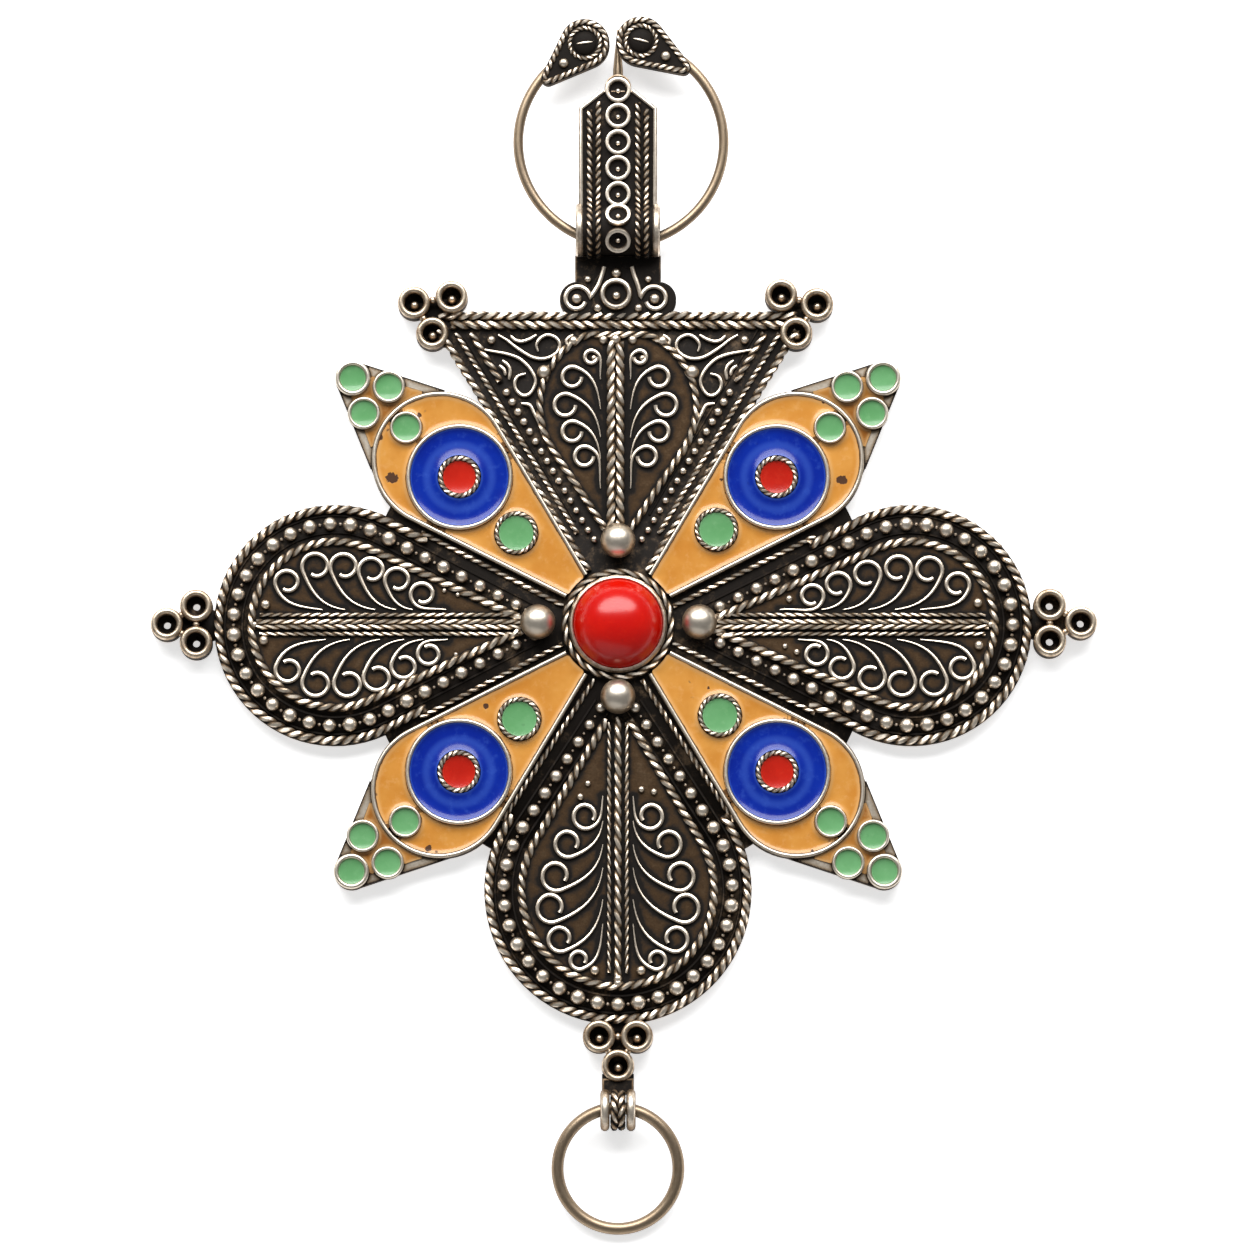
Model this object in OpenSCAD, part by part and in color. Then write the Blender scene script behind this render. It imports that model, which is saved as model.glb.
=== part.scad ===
// Berber fibula: an enamelled silver pin plate with an open ring, lying on its back.
// Units are millimetres. The origin is under the coral, on the back face.
// +Y runs towards the open ring, +X to the right, +Z out of the front face.

/* [Plate] */
// Thickness of the backing sheet
sheet_t = 1.5; // [1.2:0.1:1.8]
// Radius of the middle of the sheet, which joins the lobes and the petals
hub_r = 30.8; // [30.5:0.1:31.2]
// Radius of a rope border wire
rope_r = 0.54; // [0.45:0.01:0.58]
// Radius of a granule in the granule rows
grain_r = 0.82; // [0.75:0.01:0.85]
// Distance between two granules
grain_step = 2.45; // [2.3:0.05:2.8]

/* [Lobes] */
// Distance of the left lobe's centre from the coral
left_d = 33.9; // [33.5:0.1:34.5]
// Distance of the right lobe's centre from the coral
right_d = 35.1; // [34.5:0.1:35.5]
// Radius of a side lobe
side_r = 14.5; // [14.3:0.1:14.8]
// Distance of the lower lobe's centre from the coral
lower_d = 31.9; // [31.5:0.1:32.3]
// Radius of the lower lobe
lower_r = 16; // [15.8:0.1:16.2]

/* [Upper field] */
// Height of the triangle's top edge above the coral
top_y = 37.8; // [37.4:0.1:38.2]
// Half the width of the triangle's top edge
top_half = 22.7; // [22.4:0.1:23]
// Height of the centre of the upper leaf
leaf_d = 26.3; // [26:0.1:26.6]
// Radius of the upper leaf's rope
leaf_r = 9.4; // [9.2:0.1:9.5]

/* [Petals] */
// Angle of a petal above the left-to-right line
petal_angle = 43; // [42.5:0.1:43.5]
// Distance of the round of a petal from the coral
petal_d = 29.2; // [29:0.1:29.4]
// Radius of the round of a petal, over its wall
petal_r = 8.15; // [8.1:0.05:8.3]
// Thickness of the petal walls
wall_t = 0.5; // [0.45:0.01:0.52]
// Height of the petal walls above the back
wall_z = 2.6; // [2.5:0.1:2.8]
// Distance of the blue disc from the coral
disc_d = 26; // [25.9:0.1:26.1]
// Radius of the ring round the blue disc
disc_r = 6.4; // [6.3:0.05:6.45]
// Top of the enamel above the back
enamel_z = 2.25; // [2.1:0.05:2.4]
// Gap between an enamel and the metal round it
fit_gap = 0.05; // [0.04:0.01:0.08]

/* [Coral] */
// Radius of the coral
coral_r = 5.34; // [5.2:0.01:5.4]
// Height of the coral's dome above its collar
coral_rise = 3.4; // [3:0.1:3.8]
// Radius of the four balls round the coral
ball_r = 2.1; // [2:0.05:2.15]

/* [Tongue and barrel] */
// Height of the barrel's axis above the coral
barrel_y = 47.5; // [47.3:0.1:47.7]
// Height of the barrel's axis above the back
barrel_z = 3; // [3:0.05:3.1]
// Outer radius of the barrel
barrel_r = 2.94; // [2.9:0.01:3]
// Radius of the barrel's bore
bore_r = 2.42; // [2.4:0.01:2.45]
// Half the length of the barrel
barrel_half = 5.05; // [5:0.05:5.1]
// Half the width of the tongue
tongue_half = 4.7; // [4.6:0.05:4.8]
// Height of the tongue's shoulder above the coral
shoulder_y = 62.2; // [62:0.1:62.4]
// Height of the tongue's tip cup above the coral
tip_y = 64.75; // [64.5:0.05:65]

/* [Rings] */
// Radius of the open ring, to the middle of its wire
ring_r = 12.35; // [12.3:0.05:12.4]
// Radius of the open ring's wire
ring_wire = 0.59; // [0.55:0.01:0.6]
// Radius of the round of a finial
finial_r = 3; // [2.9:0.05:3.05]
// Radius of the small lower ring, to the middle of its wire
drop_r = 7.2; // [7.1:0.05:7.3]
// Radius of the small lower ring's wire
drop_wire = 0.72; // [0.65:0.01:0.74]
// Distance of the bail's axis below the coral
bail_y = 58.2; // [58.1:0.1:58.4]
// Height of the bail's axis above the back
bail_z = 2.6; // [2.6:0.05:2.7]

/* [Hidden] */
$fn = 48;
silver = "#b5a899";
warm_silver = "#c2a888";
dark_silver = "#6a5c4e";
orange_enamel = "#e8963c";
blue_enamel = "#0a2da5";
green_enamel = "#5faf69";
red_enamel = "#de3220";

// Columns of a lobe: turn from +Y, distance of its centre, radius
TURN = 0;
DIST = 1;
RAD = 2;
LOBES = [
    [90, left_d, side_r],
    [-90, right_d, side_r],
    [180, lower_d, lower_r]
];

// Turns of the four petals from +Y
PETALS = [90 - petal_angle, petal_angle - 90, -90 - petal_angle, 90 + petal_angle];

// Insets of the rows of a lobe from its edge, and where their straight ends would meet
rope_inset = rope_r + 0.03;
grain_inset = 2.45;
leaf_inset = 4.5;
rope_apex = 2.5;
grain_apex = 5;
leaf_apex = 10;
rope_start = 8.6;
grain_start = 11.6;
leaf_start = 12.4;
rope_lift = 0.22;
grain_lift = 0.45;

// The filigree panels
panel_t = 0.35;
panel_edge = 0.5;
wire_w = 0.5;
wire_h = 0.42;
braid_w = 2.6;

// Cups at the points of the plate
cup_r = 1.95;
cup_in = 1.15;
cup_hole = 0.44;
cup_z = 3.2;
cup_floor = 1.1;
chamfer = 0.3;
ring_chamfer = 0.16;

// Columns of a cup: x, y
SIDE_CUPS = [
    [-54, 0],
    [-50.5, 2.2],
    [-50.5, -2.2],
    [55.4, 0.2],
    [51.7, 2.3],
    [51.7, -2]
];
CORNER_CUPS = [
    [-24.5, 38.8],
    [-20, 39.5],
    [-22.3, 35.1],
    [23.9, 38.6],
    [19.6, 39.7],
    [21.4, 35.1]
];
LOWER_CUPS = [
    [-2.25, -49.4],
    [2.25, -49.4],
    [0, -52.9]
];

// Columns of a green spot: distance, turn from the petal's axis, outer and inner radius of its ring
GREENS = [
    [16.4, 1, 2.62, 2.05],
    [34.75, 0, 1.93, 1.58],
    [39.7, 3.15, 1.95, 1.52],
    [39.7, -3.15, 1.95, 1.52],
    [43.5, 0, 2.12, 1.53]
];
red_ring = 2.6;
red_r = 1.95;
disc_wall = 0.5;
setting_z = 2.95;
web_z = 1.95;
blend = 0.985;
// How far out the flanks of a drop end inside its circle, as a share of the radius
sink = 0.998;

// Scrolls of a half panel. Columns: distance across from the spine, height along it, radius of the head
SIDE_SCROLLS = [
    [3.45, 23.2, 1.25],
    [4.85, 26.2, 1.3],
    [6.1, 29.3, 1.4],
    [6.8, 32.7, 1.5],
    [6.8, 36.2, 1.5],
    [5.1, 39.6, 1.4]
];
LOWER_SCROLLS = [
    [3.9, 23, 1.35],
    [6.1, 26.3, 1.5],
    [7.6, 30.1, 1.65],
    [8.1, 34, 1.7],
    [6.9, 37.6, 1.45],
    [4.6, 40.1, 1.1]
];
UPPER_SCROLLS = [
    [4.1, 20.5, 1.25],
    [5.5, 23.3, 1.45],
    [6.3, 26.5, 1.5],
    [5.6, 29.9, 1.5],
    [3.3, 32.2, 0.95]
];
// Scroll heads outside the upper leaf. Columns: across, up, radius of the head
CORNER_SCROLLS = [
    [8.9, 33.7, 1.55],
    [11.6, 28.8, 1.35]
];
CORNER_BALL = [9.95, 30.9, 0.84];

ring_x = 0.35;
ring_y = barrel_y - 1.65 + ring_r;
finial_t = 1.7;
finial_low = 2.16;
// Columns of a finial: x and y of its round, x and y of its neck
FINIALS = [
    [-4, 70.1, -8.4, 65.9],
    [2.75, 70.4, 7.9, 67.2]
];
FX = 0;
FY = 1;
NX = 2;
NY = 3;
neck_r = 0.85;
pin_r = 0.6;
pin_z = 1.5;
pin_root = 52.5;
pin_tip = 72.2;
pin_point = 5;
bar_low = 2.4;
bar_high = 3.8;
TONGUE_CUPS = [50.1, 52.2, 55.3, 58.5, 61.6];
drop_tilt = asin((bail_z - drop_wire) / (2 * drop_r - 0.25));
drop_offset = 0.25;

// Half the opening angle at the apex of a drop: a circle of radius r at d, and its tangents
function half_angle(d, r, apex) = asin(r / (d - apex));

// Where the right tangent of a drop touches its circle
function touch(d, r, apex) =
    let(a = half_angle(d, r, apex))
    [r * cos(a), d - r * sin(a)];

// A flat drop, with its apex on the Y axis
module drop_shape(d, r, apex) {
    t = touch(d, r, apex);
    x = t[0] * sink;
    y = d + (t[1] - d) * sink;
    translate([0, d]) circle(r = r);
    polygon([[0, apex], [x, y], [-x, y]]);
}

// A raised border that follows a drop: a broad foot with a narrower crown on it
module border(d, r, apex, start) {
    for (step = [[rope_r, sheet_t + 0.42], [rope_r * 0.6, sheet_t + 0.72]])
        let(
            w = step[0],
            out_apex = apex - w / sin(half_angle(d, r, apex)),
            in_apex = apex + w / sin(half_angle(d, r, apex))
        )
        linear_extrude(step[1])
            difference() {
                drop_shape(d, r + w, out_apex);
                drop_shape(d, r - w, in_apex);
                translate([-6, -4]) square([12, start + 4]);
            }
}

// Places of evenly spaced granules along a drop, from the start height round to the other side
function drop_places(d, r, apex, start, step) =
    let(
        a = half_angle(d, r, apex),
        t = touch(d, r, apex),
        s = [(start - apex) * tan(a), start],
        run = norm(t - s),
        arc = PI * r * (180 + 2 * a) / 180,
        whole = 2 * run + arc,
        n = round(whole / step),
        each_step = whole / n
    )
    [
        for (i = [0:n])
            let(u = i * each_step)
            u < run ? s + (t - s) * u / run
            : u > run + arc ? let(v = t + (s - t) * (u - run - arc) / run) [-v[0], v[1]]
            : let(q = -a + (u - run) / r * 180 / PI) [r * cos(q), d + r * sin(q)]
    ];

// A turned ring with bevelled edges, standing on the sheet
module setting(r_out, r_in, high) {
    rotate_extrude()
        polygon([
            [r_in, sheet_t - 0.2],
            [r_out, sheet_t - 0.2],
            [r_out, high - ring_chamfer],
            [r_out - ring_chamfer, high],
            [r_in + ring_chamfer, high],
            [r_in, high - ring_chamfer]
        ]);
}

// A cup at a point of the plate
module cup(high) {
    rotate_extrude()
        polygon([
            [0, 0],
            [cup_r, 0],
            [cup_r, high - chamfer],
            [cup_r - chamfer, high],
            [cup_in + chamfer, high],
            [cup_in, high - chamfer],
            [cup_in, cup_floor],
            [0, cup_floor]
        ]);
}

// The flat outline of one petal: its round and the web that runs to its tip
module petal_outline() {
    lean = asin((petal_r - GREENS[4][2]) / (GREENS[4][0] - petal_d));
    inner = [petal_r * cos(lean), petal_r * sin(lean)] * blend;
    outer = [GREENS[4][2] * cos(lean), GREENS[4][2] * sin(lean)] * blend;
    translate([0, petal_d]) circle(r = petal_r);
    translate([0, GREENS[4][0]]) circle(r = GREENS[4][2]);
    polygon([
        [inner[0], petal_d + inner[1]],
        [outer[0], GREENS[4][0] + outer[1]],
        [-outer[0], GREENS[4][0] + outer[1]],
        [-inner[0], petal_d + inner[1]]
    ]);
}

// The wall of one petal, open where the coral's collar covers its apex
module petal_wall() {
    slope = half_angle(petal_d, petal_r, 0);
    linear_extrude(wall_z)
        difference() {
            drop_shape(petal_d, petal_r, 0);
            drop_shape(petal_d, petal_r - wall_t, wall_t / sin(slope));
            circle(r = 7.4);
        }
}

// The plate between one petal's round and its tip, with a seat under each of its green spots
module petal_web() {
    linear_extrude(sheet_t) petal_outline();
    linear_extrude(web_z)
        difference() {
            petal_outline();
            drop_shape(petal_d, petal_r - wall_t / 2, 0);
            for (k = [2:4])
                rotate(GREENS[k][1])
                    translate([0, GREENS[k][0]]) circle(r = GREENS[k][3] + 0.15);
        }
}

// The four petals' metal: webs, walls and setting rings
module petal_metal() {
    for (turn = PETALS)
        rotate([0, 0, turn]) {
            petal_web();
            petal_wall();
            translate([0, disc_d, 0]) {
                setting(disc_r, disc_r - disc_wall, setting_z);
                setting(red_ring, red_r, setting_z);
            }
            for (g = GREENS)
                rotate([0, 0, g[1]])
                    translate([0, g[0], 0])
                        setting(g[2], g[3], setting_z);
        }
}

// The backing sheet's outline
module sheet_outline() {
    circle(r = hub_r);
    for (lobe = LOBES)
        rotate(lobe[TURN])
            translate([0, lobe[DIST]]) circle(r = lobe[RAD] - 0.1);
    for (turn = PETALS)
        rotate(turn)
            translate([0, petal_d]) circle(r = petal_r - wall_t / 2);
    polygon([[0, 0], [top_half, top_y - 0.2], [-top_half, top_y - 0.2]]);
}

// Rope borders and granule rows of the three lobes
module lobe_borders() {
    for (lobe = LOBES)
        rotate([0, 0, lobe[TURN]]) {
            border(lobe[DIST], lobe[RAD] - rope_inset, rope_apex, rope_start);
            for (p = drop_places(lobe[DIST], lobe[RAD] - grain_inset, grain_apex, grain_start, grain_step))
                translate([p[0], p[1], sheet_t + grain_lift])
                    sphere(r = grain_r);
        }
}

// A straight rope between two points of the plan
module straight_rope(from, to, wire) {
    run = to - from;
    translate([from[0], from[1], sheet_t + rope_lift])
        rotate([0, 0, atan2(run[1], run[0])])
            rotate([0, 90, 0])
                cylinder(r = wire, h = norm(run), $fn = 24);
}

// Rope borders and granule rows of the triangle
module triangle_borders() {
    row_gap = 1.05;
    small_grain = 0.54;
    small_step = 1.38;
    for (row = [0, 1]) {
        y = top_y - rope_inset - row * row_gap;
        straight_rope([-top_half + 1.2, y], [top_half - 1.2, y], rope_r);
    }
    side_from = [top_half - 1.25, top_y - 2.1];
    side_to = [4.75, 8.4];
    grain_from = [18.3, 35.3];
    grain_to = [2.75, 10.4];
    along = (grain_to - grain_from) / norm(grain_to - grain_from);
    grains = floor(norm(grain_to - grain_from) / small_step);
    for (side = [0, 1])
        mirror([side, 0, 0]) {
            straight_rope(side_from, side_to, rope_r - 0.1);
            straight_rope(grain_from, grain_from + along * 5.4, rope_r - 0.1);
            for (i = [4:grains])
                let(p = grain_from + along * i * small_step)
                    translate([p[0], p[1], sheet_t + 0.35])
                        sphere(r = small_grain);
        }
}

// Scroll heads and a ball in the upper corners of the triangle, outside the leaf
module corner_work() {
    for (side = [0, 1])
        mirror([side, 0, 0]) {
            for (c = CORNER_SCROLLS)
                translate([c[0], c[1], 0])
                    setting(c[2], c[2] - wire_w, sheet_t + panel_t + wire_h);
            translate([CORNER_BALL[0], CORNER_BALL[1], sheet_t + 0.5]) sphere(r = CORNER_BALL[2]);
        }
}

// The crest above the triangle, and the neck that carries the tongue
module crest() {
    linear_extrude(2.2) {
        translate([0, 40.1]) circle(r = 3.2);
        for (side = [-1, 1])
            translate([side * 4.9, 39.3]) circle(r = 2.1);
        translate([-6.4, top_y - 0.6]) square([12.8, 2.4]);
        translate([-barrel_half - 0.1, 39.2]) square([2 * barrel_half + 0.2, barrel_y - 2.9 - 39.2]);
    }
    translate([0, 40.1, 2 - sheet_t]) setting(1.85, 1.35, sheet_t + 1);
    for (side = [-1, 1])
        translate([side * 4.9, 39.3, 0]) {
            translate([0, 0, 2 - sheet_t]) setting(1.85, 1.35, sheet_t + 0.8);
            translate([0, 0, 2.4]) sphere(r = 0.6);
        }
    translate([0, 42.7, 2.4]) sphere(r = 0.55);
    for (side = [-1, 1])
        translate([side * 2.35, 38.6, 2.4]) sphere(r = 0.5);
}

// The eye of small hoops that holds the lower ring
module bail() {
    hoop = 0.6;
    reach = 1.98;
    translate([0, -bail_y, bail_z])
        for (x = [-1.55, 0, 1.55])
            translate([x, 0, 0])
                rotate([0, 90, 0])
                    rotate_extrude()
                        translate([reach, 0]) circle(r = x == 0 ? hoop + 0.32 : hoop, $fn = 24);
    translate([-1.9, -bail_y + reach - 0.1, 1.1]) cube([3.8, 2.5, 1.9]);
}

// The web of metal between three cups and the plate
module cup_web(c) {
    middle = (c[0] + c[1] + c[2]) / 3;
    inward = middle - 2.6 * middle / norm(middle);
    linear_extrude(web_z) {
        polygon([c[0], c[1], c[2]]);
        translate(inward) circle(r = 1.9);
    }
}

// The soldered silver body
module plate() {
    color(silver)
        difference() {
            union() {
                linear_extrude(sheet_t) sheet_outline();
                lobe_borders();
                triangle_borders();
                corner_work();
                petal_metal();
                crest();
                bail();
                for (c = SIDE_CUPS)
                    translate([c[0], c[1], 0]) cup(cup_z);
                for (c = CORNER_CUPS)
                    translate([c[0], c[1], 0]) cup(cup_z);
                for (c = LOWER_CUPS)
                    translate([c[0], c[1], 0]) cup(cup_z);
                for (corners = [SIDE_CUPS, CORNER_CUPS, LOWER_CUPS])
                    for (first = [0:3:len(corners) - 1])
                        cup_web([for (k = [0:2]) corners[first + k]]);
            }
            for (c = SIDE_CUPS)
                translate([c[0], c[1], -1]) cylinder(r = cup_hole, h = 5);
        }
}

// One scroll wire: a round head and a stem that runs down to the spine
module scroll(s) {
    across = s[0];
    along = s[1];
    head = s[2];
    root = [braid_w / 2, along - 2.2 * head - 1];
    edge = [across - head * 0.98, along];
    bend = [(root[0] + edge[0]) / 2 + 0.12, (root[1] + edge[1]) / 2 + 0.3];
    side = wire_w * 0.55;
    translate([across, along])
        difference() {
            circle(r = head);
            circle(r = head - wire_w);
            translate([0, -2 * head]) square([0.9 * head, 2 * head]);
        }
    polygon([
        root,
        [root[0] + side, root[1] - 0.1],
        [bend[0] + side, bend[1] - 0.2],
        [edge[0] + wire_w, edge[1] - 0.1],
        [edge[0] + wire_w, edge[1] + 0.25],
        [edge[0] + 0.12, edge[1] + 0.3],
        [bend[0], bend[1]]
    ]);
}

// A filigree panel: ground, leaf-shaped rope edge, braided spine and scroll wires
module panel(d, r, apex, low, high, scrolls) {
    base = sheet_t + 0.02;
    top = base + panel_t + wire_h;
    slope = half_angle(d, r + panel_edge, apex);
    translate([0, 0, base]) {
        linear_extrude(panel_t)
            difference() {
                drop_shape(d, r + panel_edge, apex);
                translate([-3, 0]) square([6, low]);
            }
        linear_extrude(panel_t + wire_h) {
            difference() {
                drop_shape(d, r + panel_edge, apex);
                drop_shape(d, r - panel_edge, apex + 2 * panel_edge / sin(slope));
                translate([-3, 0]) square([6, low]);
            }
            for (side = [0, 1])
                mirror([side, 0])
                    for (s = scrolls) scroll(s);
        }
        translate([-braid_w / 2, low, 0]) cube([braid_w, high - low, panel_t + wire_h + 0.1]);
    }
}

module panel_left() {
    color(dark_silver)
        rotate([0, 0, 90])
            panel(left_d, side_r - leaf_inset, leaf_apex, leaf_start, left_d + 9.4, SIDE_SCROLLS);
}

module panel_right() {
    color(dark_silver)
        rotate([0, 0, -90])
            panel(right_d, side_r - leaf_inset, leaf_apex, leaf_start, right_d + 9.4, SIDE_SCROLLS);
}

module panel_bottom() {
    color(dark_silver)
        rotate([0, 0, 180])
            panel(lower_d, lower_r - leaf_inset, leaf_apex - 0.8, leaf_start, lower_d + 11, LOWER_SCROLLS);
}

// The upper panel, trimmed where the double rope runs along its round
module panel_top() {
    color(dark_silver)
        difference() {
            panel(leaf_d, leaf_r, leaf_apex - 0.8, leaf_start, leaf_d + 9.2, UPPER_SCROLLS);
            translate([-8, top_y - 2.22, 0]) cube([16, 3, 5]);
        }
}

// The coral's collar: a tapered wall and a rope round its foot
module bezel() {
    color(silver)
        translate([0, 0, sheet_t + 0.02]) {
            rotate_extrude()
                polygon([
                    [0, 0],
                    [6.5, 0],
                    [6.2, 1.1],
                    [coral_r + 0.35, 1.9],
                    [coral_r + fit_gap, 1.9],
                    [coral_r + fit_gap, 0.8],
                    [0, 0.8]
                ]);
            translate([0, 0, 0.5])
                rotate_extrude()
                    translate([6.25, 0]) circle(r = 0.5, $fn = 24);
        }
}

// The coral: a low round foot and a dome
module coral() {
    foot = sheet_t + 0.87;
    rim = sheet_t + 1.9;
    ball = (coral_r * coral_r + coral_rise * coral_rise) / (2 * coral_rise);
    color("#de190a")
        translate([0, 0, foot])
            rotate_extrude()
                intersection() {
                    square([coral_r, rim - foot + coral_rise + 1]);
                    translate([0, rim - foot + coral_rise - ball]) circle(r = ball);
                }
}

// A ball beside the coral, with the small foot that it is soldered by
module hub_ball(x, y) {
    color(silver)
        translate([x, y, sheet_t + 0.02]) {
            rotate_extrude()
                intersection() {
                    square([ball_r, 2 * ball_r]);
                    translate([0, ball_r * 0.8]) circle(r = ball_r);
                }
            cylinder(r = 1.35, h = 0.6);
        }
}

module hub_ball_1() { hub_ball(0, 10); }
module hub_ball_2() { hub_ball(-9.6, 0.2); }
module hub_ball_3() { hub_ball(0, -8.75); }
module hub_ball_4() { hub_ball(9.75, 0.2); }

// The orange ground of petal i, cut out round the settings
module orange(i) {
    slope = half_angle(petal_d, petal_r, 0);
    inset = wall_t + fit_gap;
    color(orange_enamel)
        rotate([0, 0, PETALS[i]])
            translate([0, 0, sheet_t + 0.02])
                linear_extrude(enamel_z - sheet_t)
                    difference() {
                        drop_shape(petal_d, petal_r - inset, inset / sin(slope));
                        circle(r = 7.6);
                        translate([0, disc_d]) circle(r = disc_r + fit_gap);
                        for (g = [GREENS[0], GREENS[1]])
                            rotate(g[1])
                                translate([0, g[0]]) circle(r = g[2] + fit_gap);
                    }
}

// The blue disc of petal i: a dished ring of enamel
module blue(i) {
    color(blue_enamel)
        rotate([0, 0, PETALS[i]])
            translate([0, disc_d, sheet_t + 0.02])
                rotate_extrude()
                    polygon([
                        [red_ring + fit_gap, 0],
                        [disc_r - disc_wall - fit_gap, 0],
                        [disc_r - disc_wall - fit_gap, 1.15],
                        [disc_r - disc_wall - 0.8, 0.85],
                        [red_ring + 0.9, 0.85],
                        [red_ring + fit_gap, 1.05]
                    ]);
}

// A low spot of enamel inside a setting ring
module spot(r) {
    translate([0, 0, sheet_t + 0.02])
        rotate_extrude()
            polygon([
                [0, 0],
                [r - fit_gap, 0],
                [r - fit_gap, 1.1],
                [r - 0.45, 1.25],
                [0, 1.32]
            ]);
}

module red(i) {
    color(red_enamel)
        rotate([0, 0, PETALS[i]])
            translate([0, disc_d, 0]) spot(red_r);
}

module green(i, k) {
    color(green_enamel)
        rotate([0, 0, PETALS[i] + GREENS[k][1]])
            translate([0, GREENS[k][0], 0]) spot(GREENS[k][3]);
}

// The tongue: the barrel, the flat bar, its rails, rope ribs and cups, and the pin's seat
module tongue() {
    foot_y = barrel_y - 2.88;
    color(silver)
        difference() {
            union() {
                translate([-barrel_half, barrel_y, barrel_z])
                    rotate([0, 90, 0]) cylinder(r = barrel_r, h = 2 * barrel_half);
                for (x = [-barrel_half - 0.3, barrel_half - 0.7])
                    translate([x, barrel_y, barrel_z])
                        rotate([0, 90, 0]) cylinder(r = barrel_r + 0.06, h = 1);
                translate([-barrel_half, foot_y, 0.4]) cube([2 * barrel_half, 1.5, 2.2]);
                translate([0, 0, bar_low])
                    linear_extrude(bar_high - bar_low) {
                        polygon([
                            [-tongue_half, barrel_y + 1.5],
                            [tongue_half, barrel_y + 1.5],
                            [tongue_half, shoulder_y],
                            [1.4, tip_y - 0.4],
                            [-1.4, tip_y - 0.4],
                            [-tongue_half, shoulder_y]
                        ]);
                        translate([0, tip_y]) circle(r = 1.6);
                    }
                for (side = [-1, 1]) {
                    translate([side * (tongue_half - 0.35), barrel_y + 2.4, bar_high])
                        rotate([-90, 0, 0])
                            cylinder(r = 0.34, h = shoulder_y - barrel_y - 2.6, $fn = 24);
                    for (x = [2.35, 3.4])
                        translate([side * x, barrel_y + 2.4, bar_high])
                            rotate([-90, 0, 0])
                                cylinder(r = 0.5, h = shoulder_y - barrel_y - 2.9, $fn = 24);
                }
                for (y = TONGUE_CUPS)
                    translate([0, y, 0]) tongue_cup(1.5);
                translate([0, tip_y, 0]) tongue_cup(1.6);
                translate([-1.3, barrel_y + 2.48, 0.7]) cube([2.6, pin_root - barrel_y - 2.48, 2]);
            }
            translate([-barrel_half - 1, barrel_y, barrel_z])
                rotate([0, 90, 0]) cylinder(r = bore_r, h = 2 * barrel_half + 2);
        }
}

// A small cup on the tongue
module tongue_cup(r) {
    rotate_extrude()
        polygon([
            [0, bar_high - 0.5],
            [r, bar_high - 0.5],
            [r, bar_high + 0.55],
            [r - 0.2, bar_high + 0.75],
            [r - 0.5, bar_high + 0.75],
            [r - 0.6, bar_high + 0.2],
            [0, bar_high + 0.2]
        ]);
}

// The pin: a round wire from its seat to a sharp point behind the finials
module pin() {
    color(warm_silver)
        translate([0, pin_root + 0.02, pin_z])
            rotate([-90, 0, 0]) {
                cylinder(r = pin_r, h = pin_tip - pin_point - pin_root);
                translate([0, 0, pin_tip - pin_point - pin_root])
                    cylinder(r1 = pin_r, r2 = 0.12, h = pin_point);
            }
}

// A finial: a flat drop with a raised rim, an inner ring and a dome
module finial(f) {
    run = [f[NX] - f[FX], f[NY] - f[FY]];
    length = norm(run);
    lean = asin((finial_r - neck_r) / length);
    translate([f[FX], f[FY], 0])
        rotate([0, 0, atan2(run[1], run[0]) - 90]) {
            translate([0, 0, finial_low])
                linear_extrude(finial_t) {
                    circle(r = finial_r);
                    translate([0, length]) circle(r = neck_r);
                    polygon([
                        [finial_r * cos(lean), finial_r * sin(lean)] * blend,
                        [neck_r * cos(lean), length / blend + neck_r * sin(lean)] * blend,
                        [-neck_r * cos(lean), length / blend + neck_r * sin(lean)] * blend,
                        [-finial_r * cos(lean), finial_r * sin(lean)] * blend
                    ]);
                }
            translate([0, 0, finial_low + finial_t - sheet_t - 0.1]) {
                setting(finial_r - 0.1, finial_r - 0.75, sheet_t + 0.45);
                setting(1.95, 1.5, sheet_t + 0.4);
            }
            translate([0, 0, finial_low + finial_t - 0.6]) sphere(r = 1.3);
            translate([0, 3.5, finial_low + finial_t]) sphere(r = 0.6);
        }
}

// The open ring: one round wire with a finial on each end
module ring() {
    left = atan2(FINIALS[0][NY] - ring_y, FINIALS[0][NX] - ring_x);
    right = atan2(FINIALS[1][NY] - ring_y, FINIALS[1][NX] - ring_x);
    color(warm_silver)
        union() {
            translate([ring_x, ring_y, barrel_z])
                rotate([0, 0, left - 4])
                    rotate_extrude(angle = 360 - left + right + 8)
                        translate([ring_r, 0]) circle(r = ring_wire, $fn = 24);
            for (f = FINIALS) finial(f);
        }
}

// The small lower ring, lying with its far side on the ground
module drop_ring() {
    color(warm_silver)
        translate([0, -bail_y, bail_z])
            rotate([drop_tilt, 0, 0])
                translate([0, drop_offset - drop_r, 0])
                    rotate_extrude()
                        translate([drop_r, 0]) circle(r = drop_wire, $fn = 24);
}

plate();
panel_left();
panel_right();
panel_bottom();
panel_top();
tongue();
pin();
ring();
drop_ring();
bezel();
coral();
hub_ball_1();
hub_ball_2();
hub_ball_3();
hub_ball_4();
for (i = [0:3]) {
    orange(i);
    blue(i);
    red(i);
    for (k = [0:4])
        green(i, k);
}
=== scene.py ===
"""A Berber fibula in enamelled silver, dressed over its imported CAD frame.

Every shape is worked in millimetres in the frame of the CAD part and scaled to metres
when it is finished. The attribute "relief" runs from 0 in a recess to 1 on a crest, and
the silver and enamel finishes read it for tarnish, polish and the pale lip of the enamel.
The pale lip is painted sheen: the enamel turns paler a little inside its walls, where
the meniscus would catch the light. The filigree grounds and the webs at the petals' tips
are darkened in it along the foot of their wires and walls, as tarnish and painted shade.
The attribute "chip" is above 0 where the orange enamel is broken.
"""

import logging
import math
import random
from dataclasses import dataclass
from enum import Enum
from functools import cache
from typing import Callable, Optional, Sequence

import bmesh
import bpy
from mathutils import Matrix, Vector, kdtree


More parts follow.
